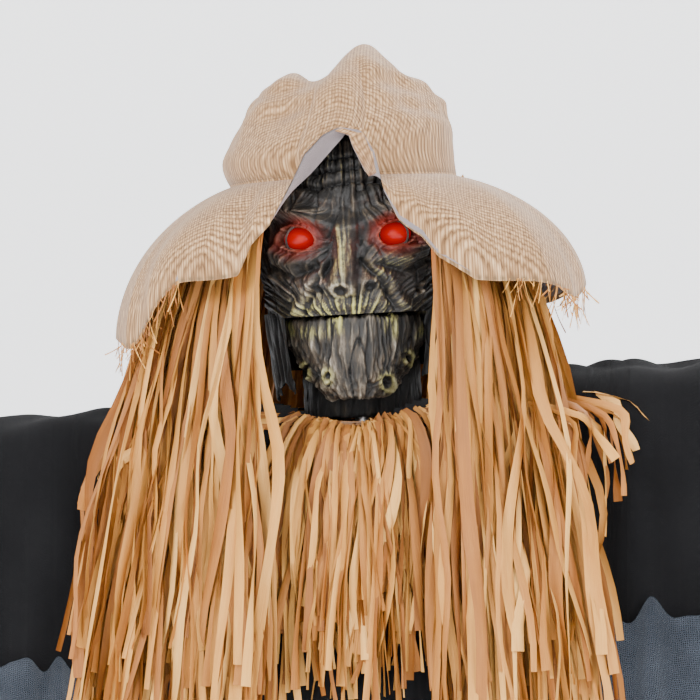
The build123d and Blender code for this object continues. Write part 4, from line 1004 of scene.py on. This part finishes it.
def band_cloth():
    finish = Finish("band_cloth", Roughness=0.9, Sheen_Weight=0.2)
    stitch = (finish.threads()[1] * 2200).sine() * 0.5 + 0.5
    cloud = finish.noise(90, 4)
    return finish.surface(finish.mix(cloud * 0.6 + stitch * 0.3, (0.07, 0.03, 0.012), (0.3, 0.15, 0.06)),
                          height=stitch + cloud, depth=0.0008)


down, across = steps(14, 120)
turn = across * 2 * math.pi
band_radius, band_top, band_width, pleats = 0.0795, 1.4575, 0.018, 46
bulge = band_radius + 0.0035 * np.sin(down * math.pi) + 0.0012 * np.sin(turn * pleats)
points = joined(bulge * np.sin(turn), -bulge * np.cos(turn), band_top - band_width * down)
sheet_piece("collar_band_cloth", points, band_cloth(), "collar_band", "stand", "gathered")

# ---- Robe ----
# Thin charcoal cloth with raw hems: a tube round the pole, a yoke over the shoulder bars, two
# wide sleeves hung from the arm tubes and a rag of grey gauze sewn on each.


def black_cloth():
    finish = Finish("black_cloth", Roughness=0.92, Sheen_Weight=0.04, Specular_IOR_Level=0.08)
    u, v = finish.threads()
    weave = ((u * 4200).sine() * (v * 4200).sine()) * 0.5 + 0.5
    cloud = finish.noise(16, 4)
    lint = finish.noise(700, 4, finish.map()).step(0.62, 0.78)
    colour = finish.mix(cloud * 0.5 + weave * 0.25, (0.0025, 0.0025, 0.003), (0.011, 0.011, 0.012))
    colour = finish.mix(lint * 0.12, colour, (0.09, 0.085, 0.08))
    return finish.surface(colour, height=weave + cloud, depth=0.0004)


def gauze_cloth():
    finish = Finish("grey_gauze", Roughness=0.95, Sheen_Weight=0.2, Specular_IOR_Level=0.1)
    u, v = finish.threads()
    stray = (finish.noise(60, 3, finish.map()) - 0.5) * 0.004
    pitch = 0.0021
    open_u = ((u + stray) * (math.pi / pitch)).sine().size()
    open_v = ((v + stray) * (math.pi / pitch)).sine().size()
    hole = open_u.lowest(open_v).step(0.45, 0.75)
    cloud = finish.noise(30, 3)
    colour = finish.mix(cloud, (0.018, 0.023, 0.032), (0.06, 0.072, 0.092))
    return finish.surface(colour, height=1 - open_u.lowest(open_v), depth=0.0005,
                          Alpha=1 - hole * 0.8)


cloth, gauze = black_cloth(), gauze_cloth()
robe_top, robe_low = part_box("robe_front")[1][2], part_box("robe_front")[0][2]
hem_wide, hem_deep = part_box("robe_front")[1][0], -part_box("robe_front")[0][1]


def robe_wall(name, turns, node, seed):
    down, across = steps(150, 200)
    turn = np.radians(turns[0] + (turns[1] - turns[0]) * across)
    top = robe_top - 0.012 + np.sin(turn) * 0.19 * slope
    ragged = 0.02 * ripple(turn * 60, 9, seed) + 0.012 * ripple(turn * 60, 2.2, seed + 1)
    bottom = robe_low + 0.03 + np.maximum(ragged, -0.026)
    z = top + (bottom - top) * down
    share = (shoulder_height - z) / (shoulder_height - robe_low)
    wide, deep = 0.186 + (hem_wide - 0.192) * share, 0.086 + (hem_deep - 0.092) * share
    square = 2.6
    radius = np.abs(np.sin(turn) / wide) ** square + np.abs(np.cos(turn) / deep) ** square
    radius = radius ** (-1 / square)
    folds = 0.5 * np.sin(turn * 15 + 0.7) + 0.35 * np.sin(turn * 23 + 2 + 1.5 * share)
    folds += 0.5 * ripple(turn * 0.3, 0.16, seed + 2, z=z)
    radius = radius + folds * 0.013 * np.clip(share * 2.2, 0.12, 1) - 0.004
    points = joined(radius * np.sin(turn), -radius * np.cos(turn), z)
    sheet_piece(name, points, cloth, node, "stand", "hung")


robe_wall("robe_cloth_front", (-90, 90), "robe_front", 101)
robe_wall("robe_cloth_back", (90, 270), "robe_back", 102)


def over_arm(name, node, reach, half_depth, rise, drop, rows, cols, seed, hem=0.03, hole=0):
    """Cloth laid over an arm from reach[0] to reach[1] and hanging down before and behind."""
    down, along = steps(rows, cols)
    x = reach[0] + (reach[1] - reach[0]) * along
    share = np.abs(along)
    depth = half_depth[0] + (half_depth[1] - half_depth[0]) * share
    top = rise[0] + (rise[1] - rise[0]) * share
    ragged = hem * (0.5 * ripple(x * 100, 3.2, seed) + 0.35 * ripple(x * 100, 0.9, seed + 1))
    length = drop[0] + (drop[1] - drop[0]) * share + np.minimum(ragged, hem * 0.4)
    v = down * 2 - 1
    crest = 0.3
    arch = clamp(np.abs(v) / crest)
    y = np.sign(v) * depth * np.sin(arch * math.pi / 2) ** 0.9
    z = top * (0.12 + 0.88 * np.cos(arch * math.pi / 2) ** 0.8)
    z = z - length * clamp((np.abs(v) - crest) / (1 - crest))
    folds = np.sin(x * 74 + 1.3 * np.sign(v) + 4 * ripple(x, 0.3, seed + 2, z=z))
    folds = folds * 0.55 + 0.6 * ripple(x, 0.05, seed + 3, y * 2, z * 0.4)
    y = y + np.sign(v) * (folds * 0.009 - 0.008) * clamp((np.abs(v) - 0.12) * 3)
    z = z + 0.005 * folds * (1 - arch)
    points = joined(x, y, shoulder_height + x * slope + z)
    sheet_piece(name, points, cloth, node, "stand", "draped", hole=hole)


over_arm("robe_cloth_yoke", "robe_yoke", (-0.206, 0.206), (0.088, 0.088), (0.052, 0.052),
         (0.075, 0.075), 90, 160, 120, 0.006, 0.08)
for side, name in sides:
    over_arm("sleeve_cloth_" + name, "sleeve_" + name, (side * 0.2, side * 0.558), (0.07, 0.058),
             (0.064, 0.058), (0.32, 0.25), 120, 110, 130 + side)


def rag(name, side, seed):
    down, across = steps(60, 60)
    x = side * (0.237 + 0.19 * across)
    ragged, torn = 0.03 * ripple(x * 100, 2.2, seed), 0.01 * ripple(x * 100, 1.6, seed + 2)
    z = shoulder_height + x * slope - 0.18 + torn - (0.215 + np.minimum(ragged, 0.012)) * down
    y = -0.0785 + 0.012 * across
    y = y - 0.003 - 0.0035 * ripple(x, 0.03, seed + 1, z=z * 0.5)
    sheet_piece(name, joined(x, y, z), gauze, "sleeve_gauze", "stand", "hung")


for side, name in sides:
    rag("gauze_" + name, side, 145 + 5 * side)
